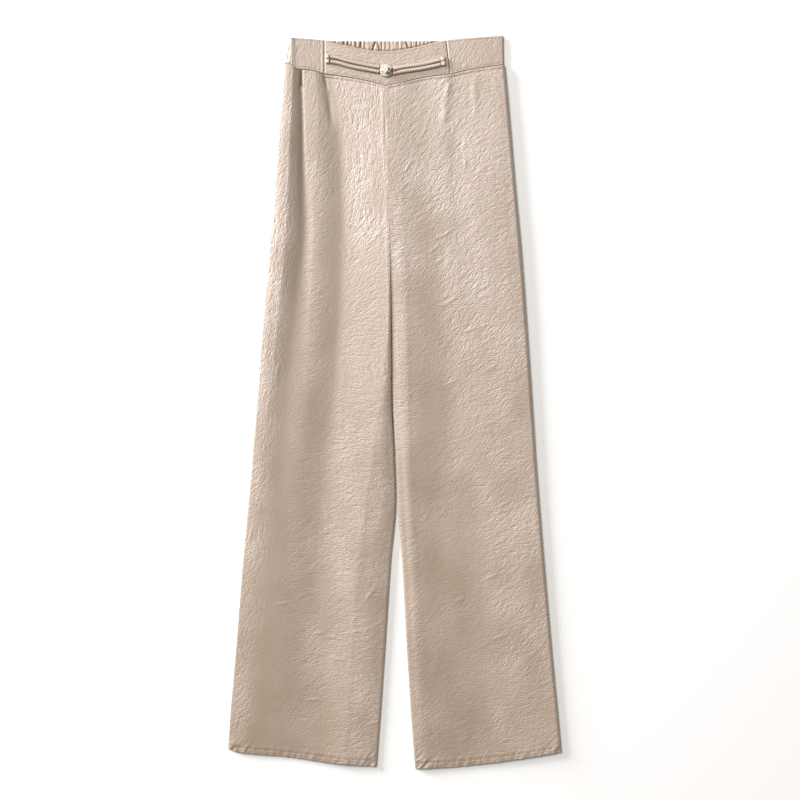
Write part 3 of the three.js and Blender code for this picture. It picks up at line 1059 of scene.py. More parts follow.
@dataclass(frozen=True)
class Crinkle:
    """The front panels' fine form: heights and lattice sizes in millimetres, turns in degrees.

    swell and ripple are slow swells, patch is where the crinkle is stronger, net the height of the
    fine ridges and long that of a few drawn-out ones.
    """

    swell: float = 0.2
    swell_cell: float = 40
    ripple: float = 0.05
    ripple_cell: float = 24
    patch_mean: float = 0.77
    patch_swing: float = 0.3
    patch_cell: float = 24
    patch_least: float = 0.2
    patch_most: float = 1.2
    net: float = 0.3
    net_mean: float = 0.35
    long: float = 0.35
    long_from: float = 0.45
    long_turn: float = 18
    long_cell: float = 4.2
    long_reach: float = 11.0

    def swells(self, x: np.ndarray, y: np.ndarray, seed: int) -> np.ndarray:
        """Height of the slow swells, drawn out along the leg."""
        slow = self.swell * soft_noise(x * 1.4, y * 0.2, self.swell_cell, seed)
        return slow + self.ripple * soft_noise(x, y, self.ripple_cell, seed + 1)

    def patches(self, x: np.ndarray, y: np.ndarray, seed: int) -> np.ndarray:
        """Strength of the crinkle, patch by patch."""
        patch = self.patch_mean + self.patch_swing * soft_noise(x, y * 0.6, self.patch_cell, seed)
        return np.clip(patch, self.patch_least, self.patch_most)

    def relief(
        self, x: np.ndarray, y: np.ndarray, lean: np.ndarray, thin: np.ndarray, seed: int
    ) -> np.ndarray:
        """Height of the fine and the long ridges at full strength.

        The fine ones are streaks folded about their middle, and the long ones the tops of others.

        Args:
            x: Places across.
            y: Places along.
            lean: Direction of the ridges in degrees.
            thin: The fine streaks.
            seed: Seed of the long ones.

        Returns:
            The height, in the shape of x.
        """
        long = streaks(x, y, lean + self.long_turn, self.long_cell, self.long_reach, seed)
        return self.net * (self.net_mean - np.abs(thin)) + self.long * np.clip(long - self.long_from, 0, 1)


@dataclass(frozen=True)
class LegPanels:
    """The front and back panel of one leg."""

    side: Side
    hem: tuple
    left_edge: tuple
    right_edge: tuple
    folds: tuple
    left_roll: Roll
    right_roll: Roll
    wrinkles: tuple
    seed: int
    crinkle: Crinkle = Crinkle()
    rows: int = 640
    cols: int = 120
    back_rows: int = 440
    back_cols: int = 90
    calm: float = 5.0
    closing: float = 4.0

    def _plan(self, rows: int, cols: int, top: str) -> tuple[np.ndarray, np.ndarray, np.ndarray]:
        """The panel's points from above.

        Rows are level lines between the two long edges. Near the ends each row bends, by a share
        that grows to one, so that the first follows the hem and the last the waist.

        Args:
            rows: Cells along the leg.
            cols: Cells across it.
            top: "seam" for the waist seam of the front, "band" for the back's straight edge.

        Returns:
            x and y of the points and each row's level.
        """
        level = np.linspace(HEM_Y, WAIST_Y, rows + 1)[:, None]
        even = np.linspace(0, 1, cols + 1)[None, :]
        share = (1 - EDGE_CROWD) * even + EDGE_CROWD * (0.5 - 0.5 * np.cos(np.pi * even))
        left = smooth_curve(EDGE_Y, self.left_edge, level)
        right = smooth_curve(EDGE_Y, self.right_edge, level)
        x = left + (right - left) * share
        near_hem = np.clip(1 - (level - HEM_Y) / END_BEND, 0, 1)
        near_waist = np.clip(1 - (WAIST_Y - level) / END_BEND, 0, 1)
        end = edge_curve(WAIST_SEAM, x) - WAIST_GAP if top == "seam" else BACK_BAND_LOW - BACK_GAP
        y = level + near_hem * (edge_curve(self.hem, x) - HEM_Y) + near_waist * (end - WAIST_Y)
        return x, y, level

    def _across(self, key: str, level: np.ndarray, x: np.ndarray) -> np.ndarray:
        """One of the folds' values over the whole panel, smooth from fold to fold.

        Args:
            key: Name of the value: "z", "lean" or "fine".
            level: Each row's level.
            x: Places across.

        Returns:
            The value at each point.
        """
        xs = np.concatenate([level_table(fold.x, level) for fold in self.folds], axis=1)
        values = np.concatenate([level_table(getattr(fold, key), level) for fold in self.folds], axis=1)
        held = np.clip(x, xs[:, :1], xs[:, -1:])
        return smooth_rows(xs, values, held)

    def _hem_seams(self, upper: np.ndarray) -> tuple[np.ndarray, ...]:
        """The rows of the upper face that carry the hem's two rows of stitches."""
        step = (WAIST_Y - HEM_Y) / self.rows
        return tuple(upper[round(rise / step), 2:-2] for rise in HEM_STITCHES)

    def front(self) -> tuple[np.ndarray, np.ndarray, Marks]:
        """The front panel's two faces.

        The upper face runs smoothly over the fold lines, then rolls down at the long edges. On it are slow
        swells, the listed creases, the crinkle along each fold's lean, a groove at the middle seam, and the
        ridges that the turned hem and the waist seam press through.

        Returns:
            The upper face, the lower face and the marks.
        """
        x, y, level = self._plan(self.rows, self.cols, "seam")
        left, right = x - x[:, :1], x[:, -1:] - x
        base = self._across("z", level, x) + self.crinkle.swells(x, y, self.seed)
        body = self.right_roll.lower(self.left_roll.lower(base, left, level), right, level)
        strength = self._across("fine", level, x) * self.crinkle.patches(x, y, self.seed + 2)
        lean, thin = FRONT_GRAIN.run(x, y, self._across("lean", level, x), self.seed + 3)
        relief = strength * self.crinkle.relief(x, y, lean, thin, self.seed + 5)
        relief += sum(crease.relief(x, y) for crease in self.wrinkles)
        relief += self._hem_relief(x, y, level) + self._waist_relief(x, level)
        edge = ramp(np.minimum(left, right), self.calm)
        inner = right if self.side is Side.LEFT else left
        z = body + edge * relief + self._middle_seam(inner, level)
        low = np.maximum(body - CLOTH - SLACK, FRONT_FOOT)
        low = FRONT_FOOT + (low - FRONT_FOOT) * ramp(np.minimum(left, right), self.closing)
        upper = np.stack([x, y, z], axis=-1)
        lower = np.stack([x, y, np.minimum(low, z - THINNEST)], axis=-1)[::2, ::2]
        # The marks carry painted shade in the folds and the crinkle strength, which also sets the painted
        # sheen tone.
        return upper, lower, Marks(self._painted_shade(level, x, base) * edge, lean, strength)

    def _middle_seam(self, inner: np.ndarray, level: np.ndarray) -> np.ndarray:
        """Groove of the middle seam, deepest at the tuck under the waist, with a welt beside it.

        Both end where the left leg rolls away from the right one. The welt lies on the left leg.

        Args:
            inner: How far each point is from the seam.
            level: Each row's level.

        Returns:
            Their height.
        """
        groove, tuck, tuck_y, tuck_reach = 0.024, 0.56, 388, 20
        deep = groove + tuck * bell(level - tuck_y, tuck_reach)
        welt = (1.0 if self.side is Side.LEFT else 0.25) * ridges(inner, MIDDLE_WELT)
        joined_share = 1 - level_table(INNER_ROLL_LEFT.fall, level)
        return joined_share * (welt - deep * bell(inner, 1.1))

    def _painted_shade(self, level: np.ndarray, x: np.ndarray, base: np.ndarray) -> np.ndarray:
        """Painted shade at each point: more where the cloth lies low, and most in the left leg's outer
        pleat.

        Args:
            level: Each row's level.
            x: Places across.
            base: Height of the cloth before its rolls and fine form.

        Returns:
            The painted shade, from 0 to 1.
        """
        lowland, lowland_reach = 5.0, 2.0
        shallow = 0.25 * ramp(lowland - base, lowland_reach)
        if self.side is Side.RIGHT:
            return shallow
        floor, lip = (level_table(fold.x, level) for fold in self.folds[1:3])
        shade = OUTER_PLEAT_SHADE
        before = bell(np.clip(floor - x, 0, None), level_table(shade.before, level))
        after = ramp(lip - x, level_table(shade.after, level))
        return np.clip(shallow + level_table(shade.depth, level) * before * after, 0, 1)

    def _hem_relief(self, x: np.ndarray, y: np.ndarray, level: np.ndarray) -> np.ndarray:
        """Ridges and groove of the turned hem, which puckers along its stitches and at its corners.

        Args:
            x: Places across.
            y: Places along.
            level: Each row's level.

        Returns:
            Their height.
        """
        pucker_cell, corner_reach, at_corner, between = 7, 24, 40, 70
        rise = level - HEM_Y
        pucker = 0.6 + 0.4 * soft_noise(x, y, pucker_cell, self.seed + 7)
        corner = bell(np.minimum(x - x[:, :1], x[:, -1:] - x), corner_reach)
        lean = at_corner * corner + between * (1 - corner)
        pull = (0.3 + 0.4 * corner) * streaks(x, y, lean, 3.0, 5.0, self.seed + 8)
        return ridges(rise, HEM_RIDGES) * pucker + pull * bell(rise, 11 + 8 * corner)

    def _waist_relief(self, x: np.ndarray, level: np.ndarray) -> np.ndarray:
        """Ridge of the seam allowance under the waistband and the groove below it.

        Args:
            x: Places across.
            level: Each row's level.

        Returns:
            Their height, faint left of the left front seam.
        """
        faint, faint_x, fade = 0.25, -104, 8
        return ridges(WAIST_Y - level, WAIST_RIDGES) * (faint + (1 - faint) * ramp(x - faint_x, fade))

    def back(self) -> tuple[np.ndarray, np.ndarray, Marks]:
        """The back panel's two faces.

        It lies flat. Its underside is the fine face, which creases lift a little off the surface.

        Returns:
            The lower face, the upper face and the marks.
        """
        flip = 1.0 if self.side is Side.LEFT else -1.0
        lift, net, most, slant, strength = 0.1, 0.22, 0.9, 35, 0.6
        x, y, _ = self._plan(self.back_rows, self.back_cols, "band")
        lean, thin = BACK_GRAIN.run(x, y, slant * flip, self.seed + 11)
        rise = lift + net * np.clip(np.abs(thin) - 0.1, 0, 1)
        rise += sum(np.abs(crease.relief(flip * x, y)) for crease in BACK_CREASES)
        edge = ramp(np.minimum(x - x[:, :1], x[:, -1:] - x), self.closing)
        lower = np.stack([x, y, np.clip(rise * edge, 0, most)], axis=-1)
        upper = np.stack([x, y, np.full_like(x, BACK_TOP)], axis=-1)[::2, ::2]
        return lower, upper, Marks(np.zeros_like(x), lean, np.full_like(x, strength))

    def build(self, finish: bpy.types.Material) -> None:
        """Builds and dresses the two panels.

        Args:
            finish: The satin.
        """
        node = f"front_leg_{self.side.value}"
        upper, lower, marks = self.front()
        mesh = shell_mesh(f"{node}_cloth", upper, lower, True, marks, self._hem_seams(upper))
        front = place(mesh, finish, "satin", node)
        node = f"back_leg_{self.side.value}"
        lower, upper, marks = self.back()
        back = place(shell_mesh(f"{node}_cloth", lower, upper, False, marks), finish, "satin", node)


LEFT_LEG = LegPanels(
    side=Side.LEFT,
    hem=HEM_LEFT,
    left_edge=OUTER_LEFT,
    right_edge=INNER_LEFT,
    folds=LEFT_FOLDS,
    left_roll=OUTER_ROLL_LEFT,
    right_roll=INNER_ROLL_LEFT,
    wrinkles=LEFT_CREASES,
    seed=10,
)
RIGHT_LEG = LegPanels(
    side=Side.RIGHT,
    hem=HEM_RIGHT,
    left_edge=INNER_RIGHT,
    right_edge=OUTER_RIGHT,
    folds=RIGHT_FOLDS,
    left_roll=INNER_ROLL_RIGHT,
    right_roll=OUTER_ROLL_RIGHT,
    wrinkles=RIGHT_CREASES,
    seed=40,
)


# Waistband


@dataclass(frozen=True)
class BandPiece:
    """A piece of the front waistband.

    low and top are its sides at the waist seam and at the top edge, and rise how far it stands over
    BAND_TOP, at even steps across. welt is the strength of the ridge along its right side, or along its left
    one where it is below zero. lines are lines of painted shade that also sink the cloth a little, each a
    route, a width and a depth. grain is the crinkle strength, which also sets the share of the painted sheen
    tone.
    """

    name: str
    low: tuple[float, float]
    top: tuple[float, float]
    rise: tuple
    grain: float
    lean: float
    seed: int
    flat: tuple[float, float]
    welt: float = 0.0
    lines: tuple = ()
    rows: int = 56
    cell: float = 0.8
    rounding: float = 1.8
    calm: float = 1.2
    cloud: float = 0.08
    cloud_cell: float = 14
    net: float = 0.4
    sunk: float = 0.5
    stitch_row: int = 4

    def _shade(self, x: np.ndarray, y: np.ndarray) -> np.ndarray:
        """Depth of the lines of painted shade, each a bell curve across its route that ends softly.

        Args:
            x: Places across.
            y: Places along.

        Returns:
            The depth, in the shape of x.
        """
        shade = np.zeros_like(x)
        for route, width, depth in self.lines:
            inside = ramp(np.minimum(x - route[0][0], route[-1][0] - x), 3)
            shade += depth * inside * bell(y - edge_curve(route, x), width)
        return shade

    def build(self, finish: bpy.types.Material) -> None:
        """Builds and dresses the piece.

        Level rows run between the waist seam and the top edge. The upper face follows the stated rises
        across, with rounded edges, lines of stitches inside the two long rims, fine streaks and the lines of
        painted shade, which also sink it a little.

        Args:
            finish: The waistband's satin.
        """
        cols = 2 * round((self.low[1] - self.low[0]) / self.cell / 2)
        up = np.linspace(0, 1, self.rows + 1)[:, None]
        share = np.linspace(0, 1, cols + 1)[None, :]
        low_x = self.low[0] + (self.low[1] - self.low[0]) * share
        top_x = self.top[0] + (self.top[1] - self.top[0]) * share
        x = low_x + (top_x - low_x) * up
        low_y = edge_curve(WAIST_SEAM, low_x)
        y = low_y + (edge_curve(BAND_TOP_EDGE, top_x) - low_y) * up
        steps = tuple(np.linspace(0, 1, len(self.rise)))
        face = BAND_TOP + smooth_curve(steps, self.rise, share + 0 * up)
        left, right = x - x[:, :1], x[:, -1:] - x
        long_rim = np.minimum(y - y[:1], y[-1:] - y)
        rim = np.minimum(np.minimum(left, right), long_rim)
        lean, thin = BAND_GRAIN.run(x, y, self.lean, self.seed)
        relief = self.net * self.grain * (0.3 - np.abs(thin)) + ridges(long_rim, BAND_STITCHES)
        relief += self.cloud * soft_noise(x, y, self.cloud_cell, self.seed + 2)
        relief += abs(self.welt) * ridges(left if self.welt < 0 else right, BAND_WELT)
        shade = self._shade(x, y)
        edge = 1 - quarter_round(rim, self.rounding)
        z = face - edge + (relief - self.sunk * shade) * ramp(rim, self.calm)
        upper = np.stack([x, y, z], axis=-1)
        lower = np.stack([x, y, face - BAND], axis=-1)[::2, ::2]
        # the marks carry the painted shade of the lines
        marks = Marks(np.clip(shade, 0, 1), lean, np.full_like(x, 1.1 * self.grain))
        inside = slice(self.stitch_row, -self.stitch_row)
        seams = (upper[self.stitch_row, inside], upper[-1 - self.stitch_row, inside])
        mesh = shell_mesh(f"{self.name}_cloth", upper, lower, True, marks, seams)
        piece = place(mesh, finish, "waistband_satin", self.name)


BAND_PIECES = (
    BandPiece(
        name="band_side_left",
        low=(-144.6, -98.0),
        top=(-144.6, -98.0),
        rise=(1.8, 0.6, 0.5, 0.35, 0.2, 0.1),
        grain=0.3,
        lean=88,
        seed=81,
        flat=(0.048, 0.048),
        welt=0.8,
        # a broad line of painted shade over the piece
        lines=((((-148, 482), (-96, 476)), 40, 0.16),),
    ),
    BandPiece(
        name="band_centre",
        low=(-97.7, 77.0),
        top=(-97.7, 71.4),
        rise=(0.3, 0.5, 0.4, 0.3, 0.4, 0.4, 0.3),
        grain=0.42,
        lean=20,
        seed=84,
        flat=(0.175, 0.05),
        lines=(  # painted shade beside and between the cords
            (((-90, 469.6), (-79, 467.7), (-60.5, 462.6), (-38.6, 458.4), (-18, 455.0)), 0.9, 0.8),
            (((-5, 453.4), (12.9, 455.9), (26.1, 457.8), (38.4, 459.7), (66, 465.4)), 0.9, 0.7),
            (((-90, 482.2), (-82.1, 481.6), (-66.6, 477.3), (-41.8, 471.8), (-18, 468.2)), 0.9, 0.35),
            (((-90, 476.4), (-80, 474.8), (-62, 470.0), (-40, 465.4), (-20, 461.8)), 1.3, 0.9),
            (((-3, 459.3), (12.9, 462.5), (26.1, 464.4), (39, 466.4), (64, 471.9)), 1.3, 0.9),
        ),
    ),
    BandPiece(
        name="band_side_right",
        low=(77.3, 151.0),
        top=(71.7, 150.6),
        rise=(0.4, 0.6, 0.8, 0.7, 0.4, 0.1),
        grain=0.34,
        lean=60,
        seed=87,
        flat=(0.08, 0.05),
        welt=-0.5,
    ),
)

# Folds between the gathers where the back band shows, as x, width, depth, slant
GATHERS = (
    (-90.0, 0.9, 0.5, 0.0), (-82.0, 0.8, 0.6, 0.1), (-77.0, 0.7, 0.5, 0.0), (-70.5, 1.5, 1.6, 0.05),
    (-64.9, 1.4, 1.5, 0.0), (-59.5, 0.8, 0.5, 0.1), (-53.8, 1.2, 1.3, -0.1), (-46.8, 1.5, 1.7, 0.1),
    (-41.5, 0.9, 0.6, 0.0), (-35.0, 0.8, 0.4, 0.0), (-27.6, 1.4, 1.7, 0.35), (-23.4, 1.2, 1.2, -0.3),
    (-17.6, 1.0, 0.9, 0.0), (-12.1, 0.8, 0.5, 0.1), (-6.5, 0.9, 0.6, 0.0), (-1.0, 0.8, 0.5, -0.1),
    (5.6, 0.9, 0.6, 0.0), (10.8, 0.8, 0.5, 0.1), (16.6, 1.3, 1.4, -0.35), (23.6, 0.9, 0.7, 0.0),
    (30.8, 1.1, 1.1, 0.1), (36.0, 0.8, 0.5, 0.0), (41.5, 0.9, 0.8, 0.2), (47.0, 0.8, 0.5, 0.0),
    (52.6, 1.1, 1.2, -0.1), (60.0, 1.0, 0.9, 0.0),
)


@dataclass(frozen=True)
class BackBand:
    """The gathered back waistband, which shows above the dip of the front one."""

    gathers: int = 28
    height: float = 1.5
    shown_face: float = 4.4
    rows: int = 30
    cols: int = 840
    low_left: float = -151.6
    top_left: float = -146.6
    right: float = 150.2
    slant_y: float = 498
    spots_left_of: float = -144.8
    spot_cell: float = 3.0
    puff: float = 0.25
    puff_cell: float = 4.0
    rib: float = 0.12
    rounding: float = 1.5
    seed: int = 71

    def build(self, finish: bpy.types.Material) -> None:
        """Builds and dresses the band.

        Under the front band the upper face is a row of even waves. Where it shows over the front band it
        stands higher, and the folds of GATHERS cut narrow valleys into it, each a bell curve across its
        slanted line. Painted shade darkens the valleys, and random dark spots at its left end take the same
        dark tone.

        Args:
            finish: The gathered satin.
        """
        up = np.linspace(0, 1, self.rows + 1)[:, None]
        share = np.linspace(0, 1, self.cols + 1)[None, :]
        left = self.low_left + (self.top_left - self.low_left) * up
        x = left + (self.right - left) * share
        y = BACK_BAND_LOW + (edge_curve(BACK_BAND_EDGE, x) - BACK_BAND_LOW) * up
        wave = 0.5 - 0.5 * np.cos(2 * np.pi * self.gathers * share)
        shown = ramp(y - edge_curve(BAND_TOP_EDGE, x) + 2, 4)
        valley = np.zeros_like(x)
        for at, width, depth, slant in GATHERS:
            valley += depth * bell(x - at - slant * (y - self.slant_y), width)
        puff = self.puff * soft_noise(x, y * 0.3, self.puff_cell, self.seed)
        puff += self.rib * streaks(x, y, 86 + 0 * x, 2.2, 4.0, self.seed + 1)
        wavy = self.height * wave * (1 - shown) + (self.shown_face - CLOTH + puff - valley) * shown
        z = CLOTH + wavy * quarter_round(y[-1:] - y, self.rounding)
        upper = np.stack([x, y, z], axis=-1)
        lower = np.stack([x, y, np.zeros_like(x)], axis=-1)[::2, ::2]
        # painted shade in the valleys, and random dark spots at the left end in the same dark tone
        spots = np.clip(0.35 + 1.1 * soft_noise(x, y, self.spot_cell, self.seed + 2), 0, 1)
        deep = np.clip(0.75 * valley, 0, 1) * shown + (x < self.spots_left_of) * spots
        deep = np.clip(deep, 0, 1)
        marks = Marks(deep, np.full_like(x, 88.0), np.full_like(x, 0.3))
        mesh = shell_mesh("band_back_cloth", upper, lower, True, marks)
        piece = place(mesh, finish, "gathered_satin", "band_back")


# Frog fastening


@dataclass(frozen=True)
class TwistedCord:
    """One cord of the fastening: a flat oval of twisted satin along a route on the band.

    pitch is the length of one turn of a ply, groove how far the radius dips between two plies, and
    blunt the length over which an end rounds off.
    """

    name: str
    route: tuple
    width: float = 5.4
    height: float = 3.4
    pitch: float = 11.0
    plies: int = 3
    groove: float = 0.3
    blunt: float = 1.2
    steps: int = 150
    around: int = 24

    def build(self, finish: bpy.types.Material) -> None:
        """Builds and dresses the cord.

        The oval's radius dips in a groove between two plies, and the grooves turn round it along the route.
        Painted shade darkens the grooves.

        Args:
            finish: The cord's satin.
        """
        xs = np.linspace(self.route[0][0], self.route[-1][0], self.steps)
        middle = np.full_like(xs, CORD_SEAT + self.height / 2)
        path = np.stack([xs, edge_curve(self.route, xs), middle], axis=1)
        run = np.concatenate([[0], np.cumsum(np.linalg.norm(np.diff(path, axis=0), axis=1))])
        angle = np.linspace(0, 2 * np.pi, self.around, endpoint=False)[None, :]
        phase = self.plies * angle / 2 + np.pi * self.plies * run[:, None] / self.pitch
        round_ply = 1 - self.groove * (1 - np.abs(np.sin(phase)) ** 0.6)
        close = np.maximum(quarter_round(np.minimum(run, run[-1] - run), self.blunt), 0.05)
        radius = round_ply * close[:, None] / 2
        tube = open_tube(path, self.width * radius * np.cos(angle), self.height * radius * np.sin(angle))
        mesh = new_mesh(f"{self.name}_twist", *tube)
        # painted shade in the grooves between the plies
        paint_shade(mesh, np.clip(5 * (0.86 - round_ply), 0, 1))
        place(mesh, finish, "cord", self.name)


CORDS = (
    TwistedCord(
        "cord_left_upper", ((-89.6, 479.4), (-82.1, 478.6), (-66.6, 474.3), (-41.8, 468.8), (-20.4, 465.0))
    ),
    TwistedCord(
        "cord_left_lower", ((-89.6, 473.2), (-79.0, 471.3), (-60.5, 466.2), (-38.6, 462.0), (-20.9, 458.7))
    ),
    TwistedCord(
        "cord_right_upper", ((-1.7, 462.6), (12.9, 465.6), (26.1, 467.4), (39.3, 469.4), (62.8, 475.0))
    ),
    TwistedCord(
        "cord_right_lower", ((-2.6, 456.0), (12.9, 459.5), (26.1, 461.4), (38.4, 463.3), (64.4, 468.8))
    ),
)


@dataclass(frozen=True)
class EndTab:
    """A stitched tab over the ends of two cords: two small pillows side by side.

    rim is the height of its edge over the band, and swell how far a pillow stands over the rim.
    """

    name: str
    x: float
    y: float
    turn: float
    width: float = 6.0
    length: float = 12.6
    rim: float = 0.4
    swell: float = 4.0
    cols: int = 32
    rows: int = 64

    def build(self, finish: bpy.types.Material) -> None:
        """Builds and dresses the tab.

        Each pillow is a product of two rounded profiles, and a groove parts the two. Painted shade darkens
        the cloth where the pillows are low, most at their edges and in the groove.

        Args:
            finish: The cord's satin.
        """
        across = np.linspace(-1, 1, self.cols + 1)[None, :]
        along = np.linspace(-1, 1, self.rows + 1)[:, None]
        half = np.abs(2 * np.abs(along) - 1)
        pillow = (1 - np.abs(across) ** 5) ** 0.5 * (0.25 + 0.75 * (1 - half**5) ** 0.5)
        side_x = across * self.width / 2 + 0 * along
        side_y = along * self.length / 2 + 0 * across
        x = self.x + side_x * math.cos(self.turn) - side_y * math.sin(self.turn)
        y = self.y + side_x * math.sin(self.turn) + side_y * math.cos(self.turn)
        upper = np.stack([x, y, CORD_SEAT + self.rim + self.swell * pillow], axis=-1)
        lower = np.stack([x, y, np.full_like(x, CORD_SEAT)], axis=-1)[::2, ::2]
        # painted shade where the pillows are low
        marks = Marks(np.clip(0.7 - pillow, 0, 1), np.full_like(x, 20.0), np.full_like(x, 0.2))
        mesh = shell_mesh(f"{self.name}_pillow", upper, lower, True, marks)
        place(mesh, finish, "cord", self.name)


TABS = (EndTab("tab_left", -93.2, 476.2, 0.0), EndTab("tab_right", 67.6, 473.0, 0.14))


@dataclass(frozen=True)
class BallKnot:
    """The ball knot and the loop that holds it.

    One strand winds `leads` times round the ball's axis and swings `bights` times between its poles,
    up to swing radians from its middle. weave is how far it passes over and under itself.
    """

    x: float = -10.9
    y: float = 460.4
    z: float = 11.6
    radius: float = 5.0
    strand: float = 1.15
    flatness: float = 0.8
    leads: int = 3
    bights: int = 4
    swing: float = 1.12
    weave: float = 0.75
    tilt: float = 38
    steps: int = 420
    around: int = 12
    loop_x: float = -11.7
    loop_y: float = 460.0
    loop_radius: float = 6.8
    loop_strand: float = 2.0
    loop_length: float = 40.0
    loop_open: float = 22
    loop_steps: int = 150
    loop_around: int = 16

    def build(self, finish: bpy.types.Material) -> None:
        """Builds and dresses the knot.

        A ball fills the inside of the wound strand, and the loop runs round its foot from the two right
        cords. The ball takes painted shade in full, the loop a little of it.

        Args:
            finish: The knot's satin.
        """
        parts = [self._strand(), self._core(), self._loop()]
        mesh = new_mesh("knot_button_woven", *joined(parts))
        # painted shade: none on the strand, full on the ball inside it, a little on the loop
        depth = [np.full(len(part[0]), share) for part, share in zip(parts, (0.0, 1.0, 0.1))]
        paint_shade(mesh, np.concatenate(depth))
        place(mesh, finish, "knot", "knot_button")

    def _strand(self) -> tuple[np.ndarray, ...]:
        """The strand round the ball, which passes over and under where it crosses itself."""
        turn = np.linspace(0, 2 * np.pi, self.steps, endpoint=False)
        swing = self.swing * np.cos(self.bights * turn)
        reach = self.radius + self.weave * np.sin(2 * self.bights * turn + 0.4)
        flat = reach * np.cos(swing)
        round_x, round_y = np.cos(self.leads * turn), np.sin(self.leads * turn)
        upright = np.stack([flat * round_x, flat * round_y, reach * np.sin(swing)], axis=1)
        tilt = math.radians(self.tilt)
        spin = np.array(
            [[math.cos(tilt), 0, math.sin(tilt)], [0, 1, 0], [-math.sin(tilt), 0, math.cos(tilt)]]
        )
        path = upright @ spin.T
        ahead = np.roll(path, -1, axis=0) - np.roll(path, 1, axis=0)
        outward = path / np.linalg.norm(path, axis=1, keepdims=True)
        angle = np.linspace(0, 2 * np.pi, self.around, endpoint=False)[None, :] + 0 * turn[:, None]
        wide = self.strand * np.cos(angle)
        high = self.flatness * self.strand * np.sin(angle)
        points = tube_points(path + self._centre(), ahead, outward, wide, high)
        return points, tube_quads(self.steps, self.around, True), NO_TRIS

    def _centre(self) -> np.ndarray:
        """The middle of the ball."""
        return np.array([self.x, self.y, self.z])

    def _core(self) -> tuple[np.ndarray, ...]:
        """The ball inside the strand, rings of points from pole to pole."""
        rings, around, size = 18, 28, self.radius * 0.93
        lift = np.linspace(-np.pi / 2, np.pi / 2, rings)[:, None]
        angle = np.linspace(0, 2 * np.pi, around, endpoint=False)[None, :]
        girth = size * np.maximum(np.cos(lift), 0.01)
        ball = np.stack(
            [girth * np.cos(angle), girth * np.sin(angle), size * np.sin(lift) + 0 * angle], axis=-1
        )
        points = ball.reshape(-1, 3) + self._centre()
        return points, tube_quads(rings, around, False), end_fans(rings, around)

    def _loop(self) -> tuple[np.ndarray, ...]:
        """The loop round the ball's foot, open to the right, where its ends meet the cords."""
        start = math.radians(self.loop_open)
        turn = np.linspace(start, 2 * np.pi - start, self.loop_steps)
        drawn = 1 + 0.22 * np.abs(np.cos(turn / 2)) ** 6
        x = self.loop_x + self.loop_radius * drawn * np.cos(turn)
        y = self.loop_y + self.loop_radius * np.sin(turn)
        path = np.stack([x, y, np.full_like(x, CORD_SEAT + self.loop_strand)], axis=1)
        angle = np.linspace(0, 2 * np.pi, self.loop_around, endpoint=False)[None, :]
        run = np.linspace(0, self.loop_length, self.loop_steps)[:, None]
        phase = TwistedCord.plies * (angle / 2 + np.pi * run / TwistedCord.pitch)
        round_ply = 1 - 0.18 * (1 - np.abs(np.sin(phase)) ** 0.7)
        wide = self.loop_strand * np.cos(angle) * round_ply
        high = self.loop_strand * 0.9 * np.sin(angle) * round_ply
        return open_tube(path, wide, high)


# Stage


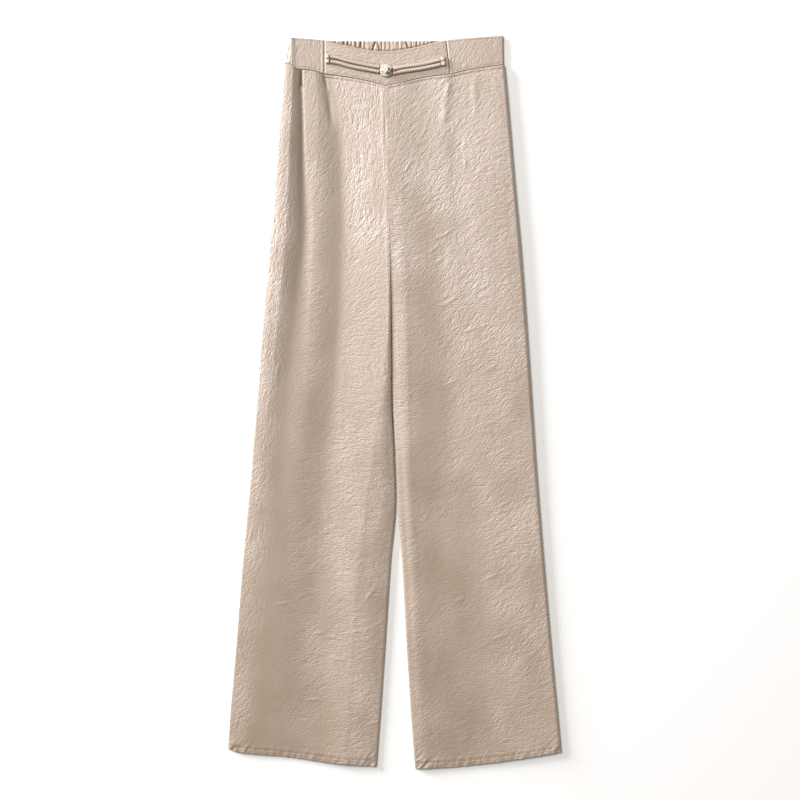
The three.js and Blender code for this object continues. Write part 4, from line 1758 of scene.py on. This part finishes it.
@dataclass(frozen=True)
class Studio:
    """Pale floor, soft lights and the camera straight above, in metres."""

    centre_x: float = 0.0074
    centre_y: float = 0.0026
    height: float = 3.0
    frame: float = 1.112
    sensor: float = 36.0
    cloth: float = 0.004
    floor_half: float = 6.0
    floor_drop: float = 0.0002
    floor_tone: tuple[float, float, float] = (0.86, 0.86, 0.86)
    floor_rough: float = 0.9
    floor_specular: float = 0.1
    world_tone: tuple[float, float, float] = (1.0, 0.98, 0.95)
    world_strength: float = 0.34

    def camera(self) -> None:
        """The camera, which sees a square of the stated frame at the cloth's height."""
        data = bpy.data.cameras.new("camera")
        data.sensor_width = self.sensor
        data.lens = self.sensor * (self.height - self.cloth) / self.frame
        camera = bpy.data.objects.new("camera", data)
        camera.location = (self.centre_x, self.centre_y, self.height)
        bpy.context.scene.collection.objects.link(camera)
        bpy.context.scene.camera = camera

    def floor(self) -> None:
        """A plain pale floor just under the cloth."""
        half, low = self.floor_half, -self.floor_drop
        corners = [[-half, -half, low], [half, -half, low], [half, half, low], [-half, half, low]]
        points = np.array(corners) / MM
        mesh = new_mesh("floor", points, np.array([[0, 1, 2, 3]]), NO_TRIS)
        material = bpy.data.materials.new("floor")
        material.use_nodes = True
        shader = material.node_tree.nodes["Principled BSDF"]
        shader.inputs["Base Color"].default_value = (*self.floor_tone, 1.0)
        shader.inputs["Roughness"].default_value = self.floor_rough
        shader.inputs["Specular IOR Level"].default_value = self.floor_specular
        mesh.materials.append(material)
        floor = bpy.data.objects.new("floor", mesh)
        bpy.context.scene.collection.objects.link(floor)

    def light(self, name: str, at: tuple, size: float, watts: float, tint: tuple) -> None:
        """A square soft light that faces the origin.

        Args:
            name: Its name.
            at: Where it is, in metres.
            size: Side of the square.
            watts: Its power.
            tint: Its colour.
        """
        data = bpy.data.lights.new(name, "AREA")
        data.shape = "SQUARE"
        data.size = size
        data.energy = watts
        data.color = tint
        lamp = bpy.data.objects.new(name, data)
        flat = math.hypot(at[0], at[1])
        lamp.location = at
        lamp.rotation_euler = (math.atan2(flat, at[2]), 0, math.atan2(at[0], -at[1]))
        bpy.context.scene.collection.objects.link(lamp)

    def build(self) -> None:
        """Builds the stage, the lights and the pale surroundings."""
        self.floor()
        self.light("key", (-1.6, 2.0, 3.84), 1.5, 156.0, (1.0, 0.97, 0.93))
        self.light("rake", (-5.7, 3.25, 1.4), 2.6, 1030.0, (0.985, 0.972, 1.0))
        world = bpy.data.worlds.new("studio")
        world.use_nodes = True
        world.node_tree.nodes["Background"].inputs["Color"].default_value = (*self.world_tone, 1.0)
        world.node_tree.nodes["Background"].inputs["Strength"].default_value = self.world_strength
        bpy.context.scene.world = world
        bpy.context.scene.view_settings.view_transform = "Standard"


# Each satin's tones, in order: painted shade, painted sheen, and the painted shade of the folds
SATIN = Satin("satin", (0.267, 0.190, 0.124), (0.423, 0.337, 0.283), (0.10, 0.045, 0.014))
WAISTBAND_SATIN = Satin("waistband_satin", (0.33, 0.252, 0.19), (0.39, 0.297, 0.235), (0.13, 0.07, 0.035))
GATHERED_SATIN = Satin("gathered_satin", (0.38, 0.28, 0.205), (0.42, 0.312, 0.232), (0.10, 0.045, 0.02))
CORD_SATIN = Satin("cord_satin", (0.44, 0.345, 0.265), (0.44, 0.345, 0.265), (0.13, 0.07, 0.035), rough=0.45)
KNOT_SATIN = Satin("knot_satin", (0.55, 0.47, 0.40), (0.55, 0.47, 0.40), (0.12, 0.06, 0.03), rough=0.4)


def main() -> None:
    """Builds the garment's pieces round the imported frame, in order."""
    logging.basicConfig(level=logging.INFO, format="%(name)s %(message)s")
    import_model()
    studio = Studio()
    studio.camera()
    satin, band, gathered = SATIN.make(), WAISTBAND_SATIN.make(), GATHERED_SATIN.make()
    cord, ivory = CORD_SATIN.make(), KNOT_SATIN.make()
    LEFT_LEG.build(satin)
    RIGHT_LEG.build(satin)
    BackBand().build(gathered)
    for piece in BAND_PIECES:
        piece.build(band)
    for piece in CORDS + TABS:
        piece.build(cord)
    BallKnot().build(ivory)
    studio.build()


if __name__ == "__main__":
    main()
